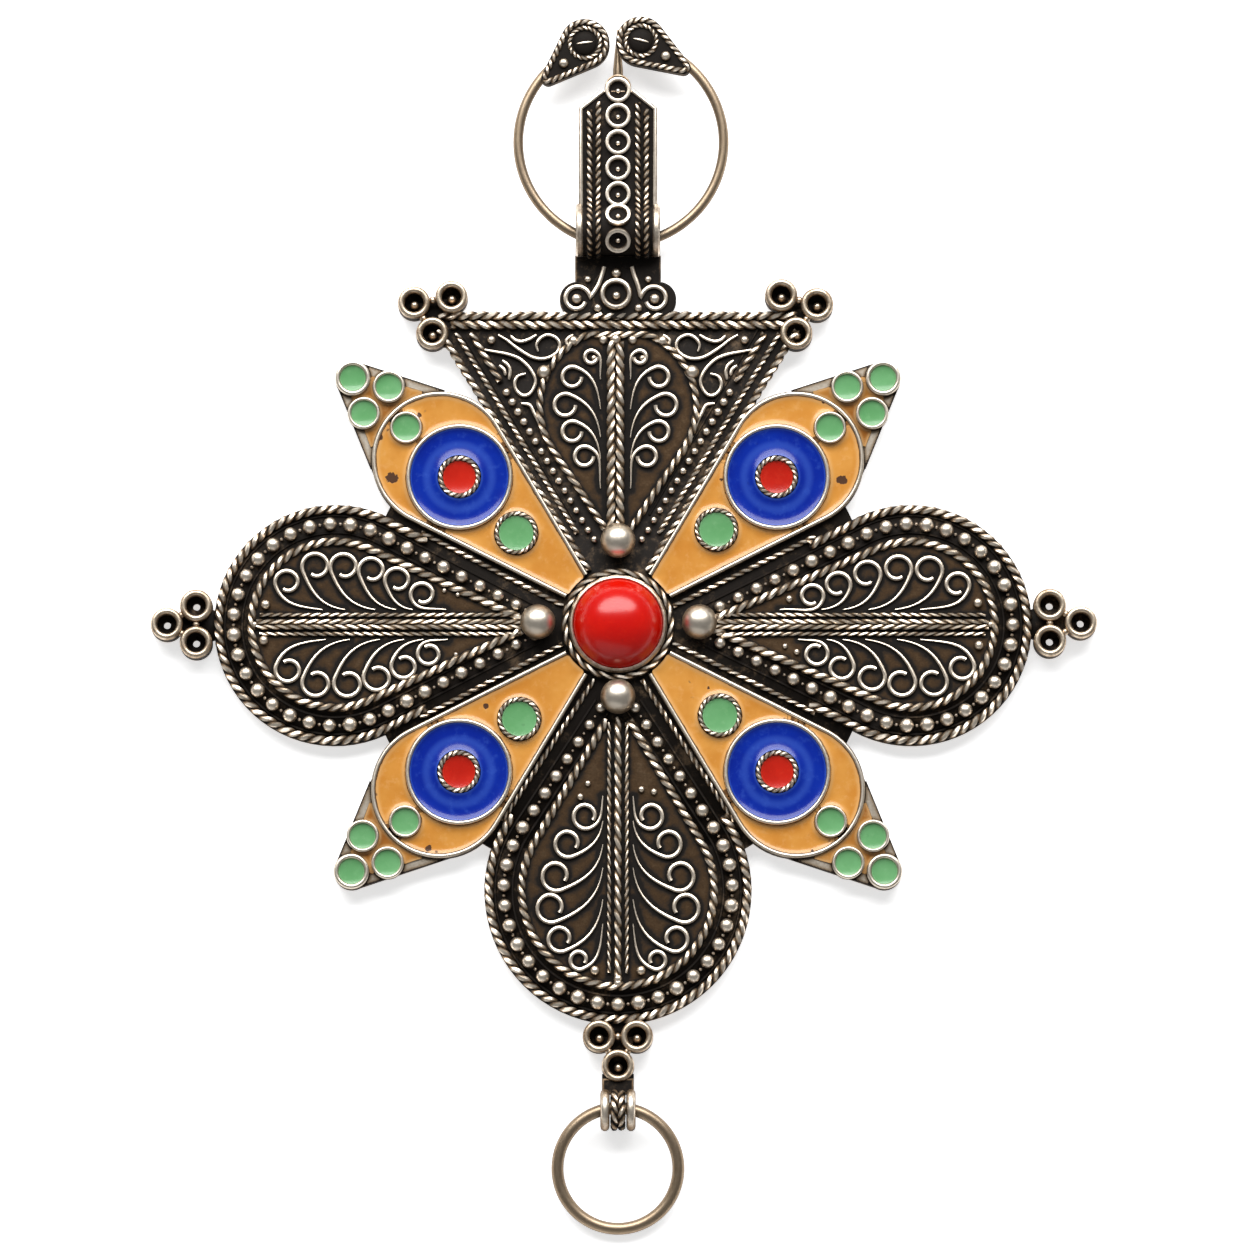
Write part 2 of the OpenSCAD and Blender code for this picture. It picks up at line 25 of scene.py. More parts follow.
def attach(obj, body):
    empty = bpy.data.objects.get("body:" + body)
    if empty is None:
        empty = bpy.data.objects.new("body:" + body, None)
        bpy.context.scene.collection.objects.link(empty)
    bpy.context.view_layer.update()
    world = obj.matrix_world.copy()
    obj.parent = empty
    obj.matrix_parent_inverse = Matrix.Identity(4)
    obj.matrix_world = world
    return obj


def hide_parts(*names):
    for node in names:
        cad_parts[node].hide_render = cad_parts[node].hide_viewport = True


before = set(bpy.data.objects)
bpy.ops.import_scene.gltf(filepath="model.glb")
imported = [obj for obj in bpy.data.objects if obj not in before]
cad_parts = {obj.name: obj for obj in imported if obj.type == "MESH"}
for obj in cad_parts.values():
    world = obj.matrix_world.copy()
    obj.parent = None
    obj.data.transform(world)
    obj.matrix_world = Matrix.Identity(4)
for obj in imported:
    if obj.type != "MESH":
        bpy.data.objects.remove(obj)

log = logging.getLogger("fibula")

# One millimetre in metres. The other lengths are in millimetres: the top of the backing
# sheet, the foot of the walls and rings that stand in it, and how far above it the middle
# of a border rope lies. SHARP_EDGE is the angle in degrees past which an edge stays crisp.
MM = 0.001
SHEET_TOP = 1.5
FOOT = SHEET_TOP - 0.1
ROPE_RISE = 0.26
SHARP_EDGE = 38

Colour = tuple[float, float, float, float]
Plan = tuple[float, float]
Mark = tuple[float, float, float]
Row = tuple[float, float, float, float]
Path = Sequence[Vector]
Line = list[Vector]
Relief = Callable[[Vector, Vector], float]
Room = Callable[[float, float, float], float]
Recipe = tuple[bpy.types.NodeTree, float, dict[str, float]]
Socket = bpy.types.NodeSocket


class Hand(Enum):
    """Which way the strands of a rope are twisted."""

    RIGHT = 1
    LEFT = -1


class Body(Enum):
    """The bodies of the frame that a piece can ride on."""

    ROOT = "root"
    RING = "ring"
    DROP_RING = "drop_ring"


def tint(red: int, green: int, blue: int) -> Colour:
    """Turns a screen colour, from 0 to 255, into the linear one that a shader reads.

    Args:
        red: Its red.
        green: Its green.
        blue: Its blue.

    Returns:
        The linear colour with a full alpha.
    """
    shares = [value / 255 for value in (red, green, blue)]
    linear = [share / 12.92 if share <= 0.04045 else ((share + 0.055) / 1.055) ** 2.4 for share in shares]
    return (*linear, 1.0)


def turned(degrees: float) -> Matrix:
    """Returns a turn about the upright axis, counted from +Y to the left."""
    return Matrix.Rotation(math.radians(degrees), 4, "Z")


def moved(x: float, y: float, z: float = 0.0) -> Matrix:
    """Returns a move without a turn."""
    return Matrix.Translation((x, y, z))


def held(value: float) -> float:
    """Returns a value held between 0 and 1."""
    return min(1.0, max(0.0, value))


def facing_up(place: Vector, normal: Vector) -> float:
    """Relief of a plain wire or wall: bright on top, dark down its sides."""
    return 0.12 + 0.88 * max(0.0, normal.z) ** 1.1


def sunken(place: Vector, normal: Vector) -> float:
    """Relief of a channel's lip, which is black nearly all over."""
    return 0.03 + 0.2 * max(0.0, normal.z)


def drawn(place: Vector, normal: Vector) -> float:
    """Relief of plain drawn wire, a little brighter on top."""
    return 0.5 + 0.3 * normal.z


def even(value: float) -> Relief:
    """Returns the relief of a surface that is the same all over."""
    return lambda place, normal: value


def level(points: Sequence[Sequence[float]], high: float) -> Line:
    """Returns points at one height, from their places in plan."""
    return [Vector((point[0], point[1], high)) for point in points]


def upright(points: Sequence[Plan], x: float) -> Line:
    """Returns points on the upright plane at x, from their Y and Z."""
    return [Vector((x, y, z)) for y, z in points]


def oblong(half: float, start: float, end: float) -> list[Plan]:
    """Returns the corners of an oblong that lies evenly across the Y axis."""
    return [(-half, start), (half, start), (half, end), (-half, end)]


def arc(middle: Plan, radius: float, start: float, end: float, steps: int) -> list[Plan]:
    """Returns points along part of a circle.

    Args:
        middle: The circle's middle.
        radius: Its radius.
        start: Angle of the first point in radians.
        end: Angle of the last point.
        steps: Steps from the first point to the last.

    Returns:
        The points, both ends included.
    """
    turns = [start + (end - start) * index / steps for index in range(steps + 1)]
    return [(middle[0] + radius * math.cos(turn), middle[1] + radius * math.sin(turn)) for turn in turns]


def circle(middle: Plan, radius: float, steps: int) -> list[Plan]:
    """Returns the points of a whole circle, without repeating the first."""
    return arc(middle, radius, 0, math.tau, steps)[:-1]


def line_length(path: Path, closed: bool = False) -> float:
    """Returns the length of a path, with its closing stretch if it is a loop."""
    total = sum((after - before).length for before, after in zip(path, path[1:]))
    return total + ((path[0] - path[-1]).length if closed else 0.0)


def spaced(path: Path, steps: int, closed: bool = False) -> Line:
    """Spaces points evenly along a path.

    Args:
        path: The path to follow.
        steps: How many equal steps.
        closed: Whether the path is a loop, whose last point then isn't repeated.

    Returns:
        The evenly spaced points.
    """
    line = [Vector(place) for place in path] + ([Vector(path[0])] if closed else [])
    stride = line_length(line) / steps
    points = [line[0].copy()]
    travelled, index = 0.0, 0
    for step in range(1, steps):
        target = step * stride
        while index < len(line) - 2 and travelled + (line[index + 1] - line[index]).length < target:
            travelled += (line[index + 1] - line[index]).length
            index += 1
        part = (line[index + 1] - line[index]).length
        points.append(line[index].lerp(line[index + 1], (target - travelled) / part if part else 0.0))
    return points if closed else points + [line[-1].copy()]


def smooth_line(knots: Sequence[Sequence[float]], steps: int = 6) -> Line:
    """Runs a smooth line through a few knots.

    Args:
        knots: The points that it passes.
        steps: Points between two knots.

    Returns:
        The smooth line.
    """
    spots = [Vector(knot) for knot in knots]
    padded = [spots[0], *spots, spots[-1]]
    line = []
    for a, b, c, d in zip(padded, padded[1:], padded[2:], padded[3:]):
        for t in (step / steps for step in range(steps)):
            bend = (2 * a - 5 * b + 4 * c - d) * t**2 + (3 * b - a - 3 * c + d) * t**3
            line.append(0.5 * (2 * b + (c - a) * t + bend))
    return line + [spots[-1]]


def nearest(points: Path) -> kdtree.KDTree:
    """Makes a search tree that finds the nearest of some points.

    Args:
        points: The points.

    Returns:
        The tree, which gives a point's place in the list as its index.
    """
    tree = kdtree.KDTree(len(points))
    for index, place in enumerate(points):
        tree.insert(place, index)
    tree.balance()
    return tree


def to_mesh(name: str, work: bmesh.types.BMesh) -> bpy.types.Mesh:
    """Turns a worked shape into a mesh.

    Args:
        name: The mesh's name.
        work: The shape, which is freed.

    Returns:
        The mesh.
    """
    mesh = bpy.data.meshes.new(name)
    work.to_mesh(mesh)
    work.free()
    return mesh


def show(name: str, data: bpy.types.ID) -> bpy.types.Object:
    """Puts a mesh, light or camera into the scene.

    Args:
        name: The object's name.
        data: The mesh, light or camera.

    Returns:
        The object.
    """
    made = bpy.data.objects.new(name, data)
    bpy.context.scene.collection.objects.link(made)
    return made


class Graph:
    """A short way to lay shader nodes and their links."""

    def __init__(self, tree: bpy.types.NodeTree) -> None:
        """Takes the tree that the nodes go into."""
        self.tree = tree

    def node(self, kind: str, **values: object) -> bpy.types.Node:
        """Adds a node and sets its properties.

        Args:
            kind: The node's type name.
            values: Properties by name.

        Returns:
            The new node.
        """
        made = self.tree.nodes.new(kind)
        for name, value in values.items():
            setattr(made, name, value)
        return made

    def feed(self, inputs: bpy.types.bpy_prop_collection, sources: dict[str | int, object]) -> None:
        """Links outputs to a node's inputs, or sets the inputs to plain values.

        Args:
            inputs: The node's inputs.
            sources: An output or a value for each input, by name or number.
        """
        for label, source in sources.items():
            if isinstance(source, Socket):
                self.tree.links.new(source, inputs[label])
            else:
                inputs[label].default_value = source

    def add(self, kind: str, output: str | int, sources: dict[str | int, object], **values: object) -> Socket:
        """Adds a node, feeds its inputs and returns one of its outputs.

        Args:
            kind: The node's type name.
            output: The output's name or number.
            sources: An output or a value for each input, by name or number.
            values: The node's properties by name.

        Returns:
            The output.
        """
        made = self.node(kind, **values)
        self.feed(made.inputs, sources)
        return made.outputs[output]

    def math(self, operation: str, *sources: object) -> Socket:
        """Adds one step of arithmetic and returns its output."""
        return self.add("ShaderNodeMath", 0, dict(enumerate(sources)), operation=operation)

    def sway(self, noise: Socket, amount: float, base: object = 0.0) -> Socket:
        """Adds a noise to a base, as much down as up, and returns the output."""
        return self.math("MULTIPLY_ADD", self.math("SUBTRACT", noise, 0.5), amount, base)

    def ramp(self, source: object, *ends: float) -> Socket:
        """Spreads a value smoothly from its low and high end to two others, or to 0 and 1."""
        sources = dict(enumerate((source, *ends)))
        return self.add("ShaderNodeMapRange", "Result", sources, interpolation_type="SMOOTHSTEP")

    def blend(self, share: object, first: object, second: object) -> Socket:
        """Mixes a share of the second colour into the first and returns the output."""
        return self.add("ShaderNodeMix", 2, {0: share, 6: first, 7: second}, data_type="RGBA")

    def noise(self, scale: float, detail: float = 2.0, rough: float = 0.5) -> Socket:
        """Adds a noise of so many repeats a metre, with finer layers and their strength."""
        sources = {"Vector": self.where(), "Scale": scale, "Detail": detail, "Roughness": rough}
        return self.add("ShaderNodeTexNoise", "Fac", sources, noise_dimensions="3D")

    def where(self) -> Socket:
        """Adds the object's own coordinates and returns their output."""
        return self.add("ShaderNodeTexCoord", "Object", {})


def new_group(
    name: str, floats: Sequence[str], colours: Sequence[str], results: Sequence[str]
) -> tuple[Graph, dict[str, Socket], bpy.types.Node]:
    """Starts a shader node group with named sockets.

    Args:
        name: The group's name.
        floats: Names of its plain inputs.
        colours: Names of its colour inputs.
        results: Names of its plain outputs, which come with a base colour.

    Returns:
        Its graph, the inputs' sockets by name and the output node.
    """
    graph = Graph(bpy.data.node_groups.new(name, "ShaderNodeTree"))
    sides = (
        ("INPUT", "NodeSocketFloat", floats),
        ("INPUT", "NodeSocketColor", colours),
        ("OUTPUT", "NodeSocketColor", ("Base Color",)),
        ("OUTPUT", "NodeSocketFloat", results),
    )
    for side, kind, labels in sides:
        for label in labels:
            graph.tree.interface.new_socket(name=label, in_out=side, socket_type=kind)
    given = {socket.name: socket for socket in graph.node("NodeGroupInput").outputs}
    return graph, given, graph.node("NodeGroupOutput")


@cache
def tarnish_group() -> bpy.types.NodeTree:
    """Builds the tarnish of old silver once: black in the recesses, polished on the crests.

    Returns:
        The node group, with base colour, roughness, metal and height outputs.
    """
    graph, given, result = new_group(
        "tarnish", ("Relief", "Polish", "Wear"), ("Bright", "Middle", "Dark"),
        ("Roughness", "Metallic", "Height"),
    )
    blotch, grain, grit = graph.noise(160, 3), graph.noise(900, 3, 0.6), graph.noise(4200, 2, 0.6)
    uneven = graph.sway(grit, 0.2, graph.sway(grain, 0.5, graph.sway(blotch, 0.4)))
    height = graph.math("ADD", given["Relief"], given["Polish"])
    height = graph.math("MULTIPLY_ADD", uneven, given["Wear"], height)
    risen = graph.ramp(height, 0.26, 0.62)
    colour = graph.blend(risen, given["Dark"], given["Middle"])
    graph.feed(result.inputs, {
        "Base Color": graph.blend(graph.ramp(height, 0.55, 1.0), colour, given["Bright"]),
        "Roughness": graph.sway(grit, 0.22, graph.ramp(height, 0.2, 0.9, 0.72, 0.38)),
        "Metallic": graph.ramp(risen, 0, 1, 0.1, 1.0),
        "Height": graph.math("MULTIPLY_ADD", grit, 0.4, grain),
    })
    return graph.tree


@cache
def glaze_group() -> bpy.types.NodeTree:
    """Builds the look of old enamel once: cloudy colour, a pale lip of painted sheen, specks and chips.

    Returns:
        The node group, with base colour, roughness and height outputs.
    """
    graph, given, result = new_group(
        "glaze", ("Relief", "Chip", "Age"), ("Base", "Pale", "Deep", "Dirt"), ("Roughness", "Height")
    )
    cloud, mottle, fine = graph.noise(230, 3, 0.55), graph.noise(1100, 3, 0.6), graph.noise(5200, 2, 0.5)
    colour = graph.blend(graph.ramp(cloud, 0.3, 0.72), given["Deep"], given["Base"])
    colour = graph.blend(graph.math("MULTIPLY", graph.ramp(mottle, 0.5, 0.8), 0.35), colour, given["Pale"])
    # The pale lip is painted sheen: the colour turns paler along the walls, where the meniscus would catch
    # the light.
    lip = graph.math("MULTIPLY", graph.ramp(given["Relief"], 0.15, 0.6), 0.55)
    colour = graph.blend(lip, colour, given["Pale"])
    edge = graph.sway(mottle, 0.5, given["Relief"])
    soiled = graph.math("MULTIPLY", graph.ramp(edge, 0.82, 1.02), given["Age"])
    colour = graph.blend(soiled, colour, given["Dirt"])
    cells = {"Vector": graph.where(), "Scale": 620}
    specks = graph.ramp(graph.add("ShaderNodeTexVoronoi", "Distance", cells, feature="F1"), 0.2, 0.08)
    specks = graph.math("MULTIPLY", specks, graph.ramp(graph.noise(520), 0.6, 0.68))
    specks = graph.math("MULTIPLY", specks, given["Age"])
    spoiled = graph.math("MAXIMUM", specks, graph.ramp(graph.sway(mottle, 1.3, given["Chip"]), 0.46, 0.54))
    height = graph.math("MULTIPLY_ADD", spoiled, -1.2, graph.math("MULTIPLY", cloud, 0.6))
    graph.feed(result.inputs, {
        "Base Color": graph.blend(spoiled, colour, given["Dirt"]),
        "Roughness": graph.math("MULTIPLY_ADD", fine, 0.12, graph.ramp(spoiled, 0, 1, 0.13, 0.75)),
        "Height": graph.math("MULTIPLY_ADD", mottle, 0.25, height),
    })
    return graph.tree


@dataclass(frozen=True)
class Finish:
    """A finish that carries the name of a CAD slot. Its fields feed the inputs of the same names."""

    name: str
    slot: str

    def recipe(self) -> Recipe:
        """Returns the finish's node group, strength of bump and plain shader values."""
        raise NotImplementedError

    @cache
    def material(self) -> bpy.types.Material:
        """Makes the finish's material once.

        Returns:
            The material.
        """
        made = bpy.data.materials.new(self.name)
        made.use_nodes = True
        graph = Graph(made.node_tree)
        shader = made.node_tree.nodes["Principled BSDF"]
        tree, strength, values = self.recipe()
        group = graph.node("ShaderNodeGroup", node_tree=tree)
        for label in group.inputs.keys():
            own = getattr(self, label.lower(), None)
            if own is None:
                own = graph.add("ShaderNodeAttribute", "Fac", {}, attribute_name=label.lower())
            graph.feed(group.inputs, {label: own})
        read = {label: group.outputs[label] for label in group.outputs.keys()}
        bump = {"Strength": strength, "Distance": self.bump * MM, "Height": read.pop("Height")}
        graph.feed(shader.inputs, {**read, **values, "Normal": graph.add("ShaderNodeBump", "Normal", bump)})
        return made


@dataclass(frozen=True)
class Silver(Finish):
    """A silver finish with its own polish and depth of tarnish."""

    polish: float
    bright: Colour
    middle: Colour
    dark: Colour
    wear: float = 1.0
    bump: float = 0.015

    def recipe(self) -> Recipe:
        """Returns the tarnish, its strength of bump and its low gloss."""
        return tarnish_group(), 0.6, {"Specular IOR Level": 0.22}


@dataclass(frozen=True)
class Enamel(Finish):
    """A glass enamel or polished stone with its own clouding, painted sheen at the lip, and wear."""

    base: Colour
    pale: Colour
    deep: Colour
    dirt: Colour
    age: float
    coat: float = 0.4
    bump: float = 0.02
    haze: float = 0.1

    def recipe(self) -> Recipe:
        """Returns the glaze, its strength of bump and its glassy coat."""
        coat = {"Coat Weight": self.coat, "Coat Roughness": self.haze}
        return glaze_group(), 0.5, {"Specular IOR Level": 0.35, **coat}


BODY_SILVER = Silver(
    "worn_body_silver", "body_silver", 0.06, tint(255, 242, 224), tint(146, 122, 96), tint(24, 18, 13))
PLAIN_SILVER = Silver(
    "plain_body_silver", "body_silver", 0.05, tint(240, 229, 212), tint(152, 134, 112), tint(36, 26, 18),
    0.5, 0.008)
CUP_SILVER = Silver(
    "patchy_cup_silver", "body_silver", 0.0, tint(232, 214, 190), tint(156, 130, 103), tint(26, 19, 14),
    1.7, 0.02)
GROUND_SILVER = Silver(
    "dark_ground_silver", "filigree_silver", 0.0, tint(130, 108, 84), tint(82, 64, 47), tint(20, 15, 11),
    1.0, 0.05)
WIRE_SILVER = Silver(
    "worn_wire_silver", "filigree_silver", 0.08, tint(255, 241, 222), tint(150, 127, 101), tint(24, 18, 13),
    0.8)
RING_SILVER = Silver(
    "warm_ring_silver", "ring_silver", 0.0, tint(196, 176, 150), tint(146, 125, 102), tint(52, 40, 30),
    0.4, 0.006)
ORANGE = Enamel(
    "old_orange_enamel", "orange_enamel", tint(218, 154, 72), tint(230, 180, 116), tint(204, 134, 52),
    tint(78, 48, 26), 0.9, 0.2)
STAINED = Enamel(
    "stained_orange_enamel", "orange_enamel", tint(194, 134, 62), tint(212, 172, 118), tint(150, 92, 34),
    tint(60, 38, 22), 1.0, 0.1)
BLUE = Enamel(
    "glossy_blue_enamel", "blue_enamel", tint(2, 42, 157), tint(56, 92, 190), tint(1, 34, 146),
    tint(6, 12, 60), 0.15, 0.12)
GREEN = Enamel(
    "old_green_enamel", "green_enamel", tint(112, 172, 116), tint(136, 188, 136), tint(98, 160, 102),
    tint(30, 70, 40), 0.4, 0.3)
RED = Enamel(
    "old_red_enamel", "red_enamel", tint(200, 36, 20), tint(214, 58, 36), tint(182, 28, 14),
    tint(64, 12, 8), 0.4, 0.12)
CORAL = Enamel(
    "polished_coral", "coral", tint(214, 16, 0), tint(220, 34, 6), tint(200, 8, 0), tint(80, 8, 5),
    0.15, 0.42, 0.012, 0.26)


class Piece:
    """One piece of the brooch while it is being made, in millimetres."""

    def __init__(self, name: str, seed: int = 1) -> None:
        """Starts an empty piece.

        Args:
            name: The finished object's name.
            seed: Seed of the piece's small unevenness.
        """
        self.name = name
        self.bm = bmesh.new()
        for label in ("relief", "chip"):
            self.bm.verts.layers.float.new(label)
        self.luck = random.Random(seed)

    def mark(self, verts: Sequence[bmesh.types.BMVert], reliefs: Sequence[float]) -> None:
        """Writes the relief of some corners.

        Args:
            verts: The corners.
            reliefs: The relief of each, in the same order.
        """
        layer = self.bm.verts.layers.float["relief"]
        for vert, relief in zip(verts, reliefs):
            vert[layer] = held(relief)

    def take(self, mesh: bpy.types.Mesh, relief: Relief | list[float]) -> None:
        """Adds a mesh's shape to the piece and removes the mesh.

        Args:
            mesh: A mesh in millimetres.
            relief: Gives the relief from place and normal, or lists that of each corner.
        """
        before, faces = len(self.bm.verts), len(self.bm.faces)
        self.bm.from_mesh(mesh)
        bpy.data.meshes.remove(mesh)
        if callable(relief):
            self.bm.faces.ensure_lookup_table()
            bmesh.ops.recalc_face_normals(self.bm, faces=self.bm.faces[faces:])
        self.bm.verts.ensure_lookup_table()
        fresh = self.bm.verts[before:]
        if callable(relief):
            for vert in fresh:
                vert.normal_update()
            relief = [relief(vert.co, vert.normal) for vert in fresh]
        self.mark(fresh, relief)

    def wires(
        self,
        paths: Sequence[Path],
        radius: float,
        closed: bool = False,
        sides: int = 1,
        swell: Optional[Callable[[float], float]] = None,
        tall: float = 0.0,
        relief: Relief = facing_up,
    ) -> None:
        """Draws round wires, or upright walls with round edges, along paths.

        Args:
            paths: The middle line of each wire.
            radius: The wire's radius, or half the wall's thickness.
            closed: Whether each path is a closed loop.
            sides: How round the wire is.
            swell: Gives the share of the radius at a share of the length.
            tall: Extra height of a wall, split above and below its line.
            relief: Gives the relief of each corner.
        """
        curve = bpy.data.curves.new(self.name + "_wire", "CURVE")
        curve.dimensions = "3D"
        curve.twist_mode = "Z_UP" if tall else "MINIMUM"
        curve.bevel_depth = radius
        curve.bevel_resolution = sides
        curve.extrude = tall / 2
        curve.use_fill_caps = True
        for path in paths:
            spline = curve.splines.new("POLY")
            spline.points.add(len(path) - 1)
            for index, (point, place) in enumerate(zip(spline.points, path)):
                point.co = (*place, 1.0)
                point.radius = swell(index / (len(path) - 1)) if swell else 1.0
            spline.use_cyclic_u = closed
        holder = bpy.data.objects.new(self.name + "_wire", curve)
        mesh = bpy.data.meshes.new_from_object(holder)
        bpy.data.objects.remove(holder)
        bpy.data.curves.remove(curve)
        self.take(mesh, relief)

    def rope(
        self,
        path: Path,
        radius: float,
        grain: float,
        hand: Hand = Hand.RIGHT,
        closed: bool = False,
        worn: float = 0.0,
    ) -> None:
        """Twists a two-strand rope along a path.

        Args:
            path: The rope's middle line.
            radius: Its radius over both strands.
            grain: Distance from one grain to the next.
            hand: Which way it is twisted.
            closed: Whether the path is a closed loop.
            worn: Extra relief, where the rope is polished by wear.
        """
        grains = max(2, round(line_length(path, closed) / grain))
        grains += grains % 2 if closed else 0
        steps = grains * 5
        middle = spaced(path, steps, closed)
        strand = radius * 0.62
        last = len(middle) - 1
        tangents = []
        for index in range(last + 1):
            after = middle[(index + 1) % (last + 1)] if closed else middle[min(index + 1, last)]
            before = middle[index - 1] if closed or index else middle[0]
            tangents.append((after - before).normalized())
        strands: list[Line] = [[], []]
        for index, (place, ahead) in enumerate(zip(middle, tangents)):
            side = ahead.cross(Vector((0, 0, 1)))
            side = side.normalized() if side.length > 0.1 else Vector((1, 0, 0))
            up = side.cross(ahead).normalized()
            twist = hand.value * math.pi * grains * index / steps + 0.7
            for line, turn in zip(strands, (twist, twist + math.pi)):
                line.append(place + (side * math.cos(turn) + up * math.sin(turn)) * (radius - strand))
        tree = nearest(middle)

        def depth(place: Vector, normal: Vector) -> float:
            """Gives the relief from how far a corner stands from the rope's middle line.

            Args:
                place: The corner's place.
                normal: Its normal, which isn't needed.

            Returns:
                The relief.
            """
            index = tree.find(place)[1]
            away = place - middle[index]
            away -= tangents[index] * away.dot(tangents[index])
            lift = max(0.0, away.z / radius)
            return worn + 1.3 * (away.length / radius) ** 3 * (0.2 + 0.8 * lift)

        self.wires(strands, strand, closed, relief=depth)

    def ball(self, place: Sequence[float], radius: float, detail: int = 2, low: float = 0.1) -> None:
        """Sets a granule or ball.

        Args:
            place: Its centre.
            radius: Its radius.
            detail: How finely it is divided.
            low: Relief at its foot.
        """
        spot = moved(*place)
        verts = bmesh.ops.create_icosphere(self.bm, subdivisions=detail, radius=radius, matrix=spot)["verts"]
        shares = [max(0.0, (vert.co.z - place[2]) / radius * 0.5 + 0.5) for vert in verts]
        self.mark(verts, [low + (1.1 - low) * share**2 for share in shares])

    def lathe(self, profile: Sequence[Plan], spot: Matrix, steps: int, relief: Relief) -> None:
        """Spins a closed profile of radius and height into a turned shape.

        Args:
            profile: Radius and height of each point.
            spot: Where the turned shape goes.
            steps: Divisions of the full turn.
            relief: Gives the relief from place and normal before the shape is set in its spot.
        """
        work = bmesh.new()
        corners = [work.verts.new((radius, 0, high)) for radius, high in profile]
        edges = [work.edges.new(pair) for pair in zip(corners, corners[1:] + corners[:1])]
        bmesh.ops.spin(
            work, geom=corners + edges, axis=(0, 0, 1), cent=(0, 0, 0), dvec=(0, 0, 0),
            angle=math.tau, steps=steps, use_merge=True, use_duplicate=False,
        )
        bmesh.ops.remove_doubles(work, verts=work.verts, dist=1e-4)
        bmesh.ops.recalc_face_normals(work, faces=work.faces)
        work.normal_update()
        reliefs = [relief(vert.co, vert.normal) for vert in work.verts]
        bmesh.ops.transform(work, matrix=spot, verts=work.verts)
        self.take(to_mesh("turned_part", work), reliefs)

    def slab(
        self, outline: Sequence[Sequence[float]], low: float, high: float,
        rim: float, flat: float, crest: float,
    ) -> None:
        """Cuts a flat plate with a softened upper edge.

        Args:
            outline: Its corners in plan.
            low: Height of its underside.
            high: Height of its top.
            rim: Width of the softened edge.
            flat: Relief of its flat top.
            crest: Relief along its edge.
        """
        work = bmesh.new()
        bottom = work.faces.new([work.verts.new(place) for place in level(outline, low)])
        raised = bmesh.ops.extrude_face_region(work, geom=[bottom])
        lifted = [item for item in raised["geom"] if isinstance(item, bmesh.types.BMVert)]
        bmesh.ops.translate(work, vec=(0, 0, high - low), verts=lifted)
        bmesh.ops.recalc_face_normals(work, faces=work.faces)
        upper = [edge for edge in work.edges if all(vert.co.z > high - 1e-4 for vert in edge.verts)]
        bmesh.ops.bevel(
            work, geom=upper, offset=rim, affect="EDGES", segments=2, profile=0.5, material=-1,
            clamp_overlap=True,
        )
        top = [face for face in work.faces if face.normal.z > 0.99]
        if len(top) == 1:
            bmesh.ops.inset_region(work, faces=top, thickness=0.12, depth=0)
        work.normal_update()
        work.verts.index_update()
        inner = {vert.index for face in top if face.is_valid for vert in face.verts}
        edge = high - rim * 0.9
        reliefs = [
            flat if vert.index in inner else (crest if vert.co.z > edge else 0.3) for vert in work.verts
        ]
        self.take(to_mesh("flat_part", work), reliefs)

    def tray(
        self,
        free: Callable[[float, float], float],
        middle: float,
        cells: tuple[int, int],
        cell: float,
        foot: float,
        top: Room,
        relief: Room,
    ) -> None:
        """Fills an outline with a finely divided ground whose edge follows the outline.

        Args:
            free: Gives how far a place lies inside the outline.
            middle: Middle of the grid that it is cut from, along the Y axis.
            cells: Cells of that grid across and along.
            cell: Side of one cell.
            foot: Height of its underside.
            top: Height of its top, from place and free room.
            relief: Relief of its top, from place and free room.
        """
        bm = bmesh.new()
        layer = bm.verts.layers.float.new("relief")
        spot = moved(0, middle) @ Matrix.Diagonal((cell * cells[0] / 2, cell * cells[1] / 2, 1, 1))
        bmesh.ops.create_grid(bm, x_segments=cells[0], y_segments=cells[1], size=1, matrix=spot)
        outside = [vert for vert in bm.verts if free(vert.co.x, vert.co.y) < -cell * 0.3]
        bmesh.ops.delete(bm, geom=outside, context="VERTS")
        loose = [vert for vert in bm.verts if not vert.link_faces]
        bmesh.ops.delete(bm, geom=loose, context="VERTS")
        edge = 0.01
        for vert in bm.verts:
            x, y = vert.co.x, vert.co.y
            room = free(x, y)
            if vert.is_boundary or room < 2 * edge:
                slope = Vector((free(x + edge, y) - free(x - edge, y), free(x, y + edge) - free(x, y - edge)))
                if slope.length > 1e-6 and abs(edge - room) < 0.5:
                    step = slope.normalized() * (edge - room)
                    x, y, room = x + step.x, y + step.y, edge
            vert.co = (x, y, top(x, y, room))
            vert[layer] = relief(x, y, room)
        sides = bmesh.ops.extrude_face_region(bm, geom=bm.faces[:], use_keep_orig=True)
        for item in sides["geom"]:
            if isinstance(item, bmesh.types.BMVert):
                item.co.z = foot
        reliefs = [vert[layer] for vert in bm.verts]
        self.take(to_mesh("ground_part", bm), reliefs)

    def place(self, spot: Matrix) -> "Piece":
        """Moves and turns the whole piece, and returns it."""
        bmesh.ops.transform(self.bm, matrix=spot, verts=self.bm.verts)
        return self

    def finish(self, look: Finish, node: str, body: Body = Body.ROOT) -> None:
        """Turns the piece into a finished object on its body.

        Args:
            look: The finish that it gets.
            node: The CAD node that it replaces.
            body: The body that it rides on.
        """
        bmesh.ops.recalc_face_normals(self.bm, faces=self.bm.faces)
        bmesh.ops.scale(self.bm, vec=(MM, MM, MM), verts=self.bm.verts)
        mesh = to_mesh(self.name, self.bm)
        mesh.shade_smooth()
        mesh.set_sharp_from_angle(angle=math.radians(SHARP_EDGE))
        made = show(self.name, mesh)
        mesh.materials.append(look.material())
        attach(made, body.value)
        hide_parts(node)
        log.info("%s: %d faces, %s", self.name, len(mesh.polygons), look.name)


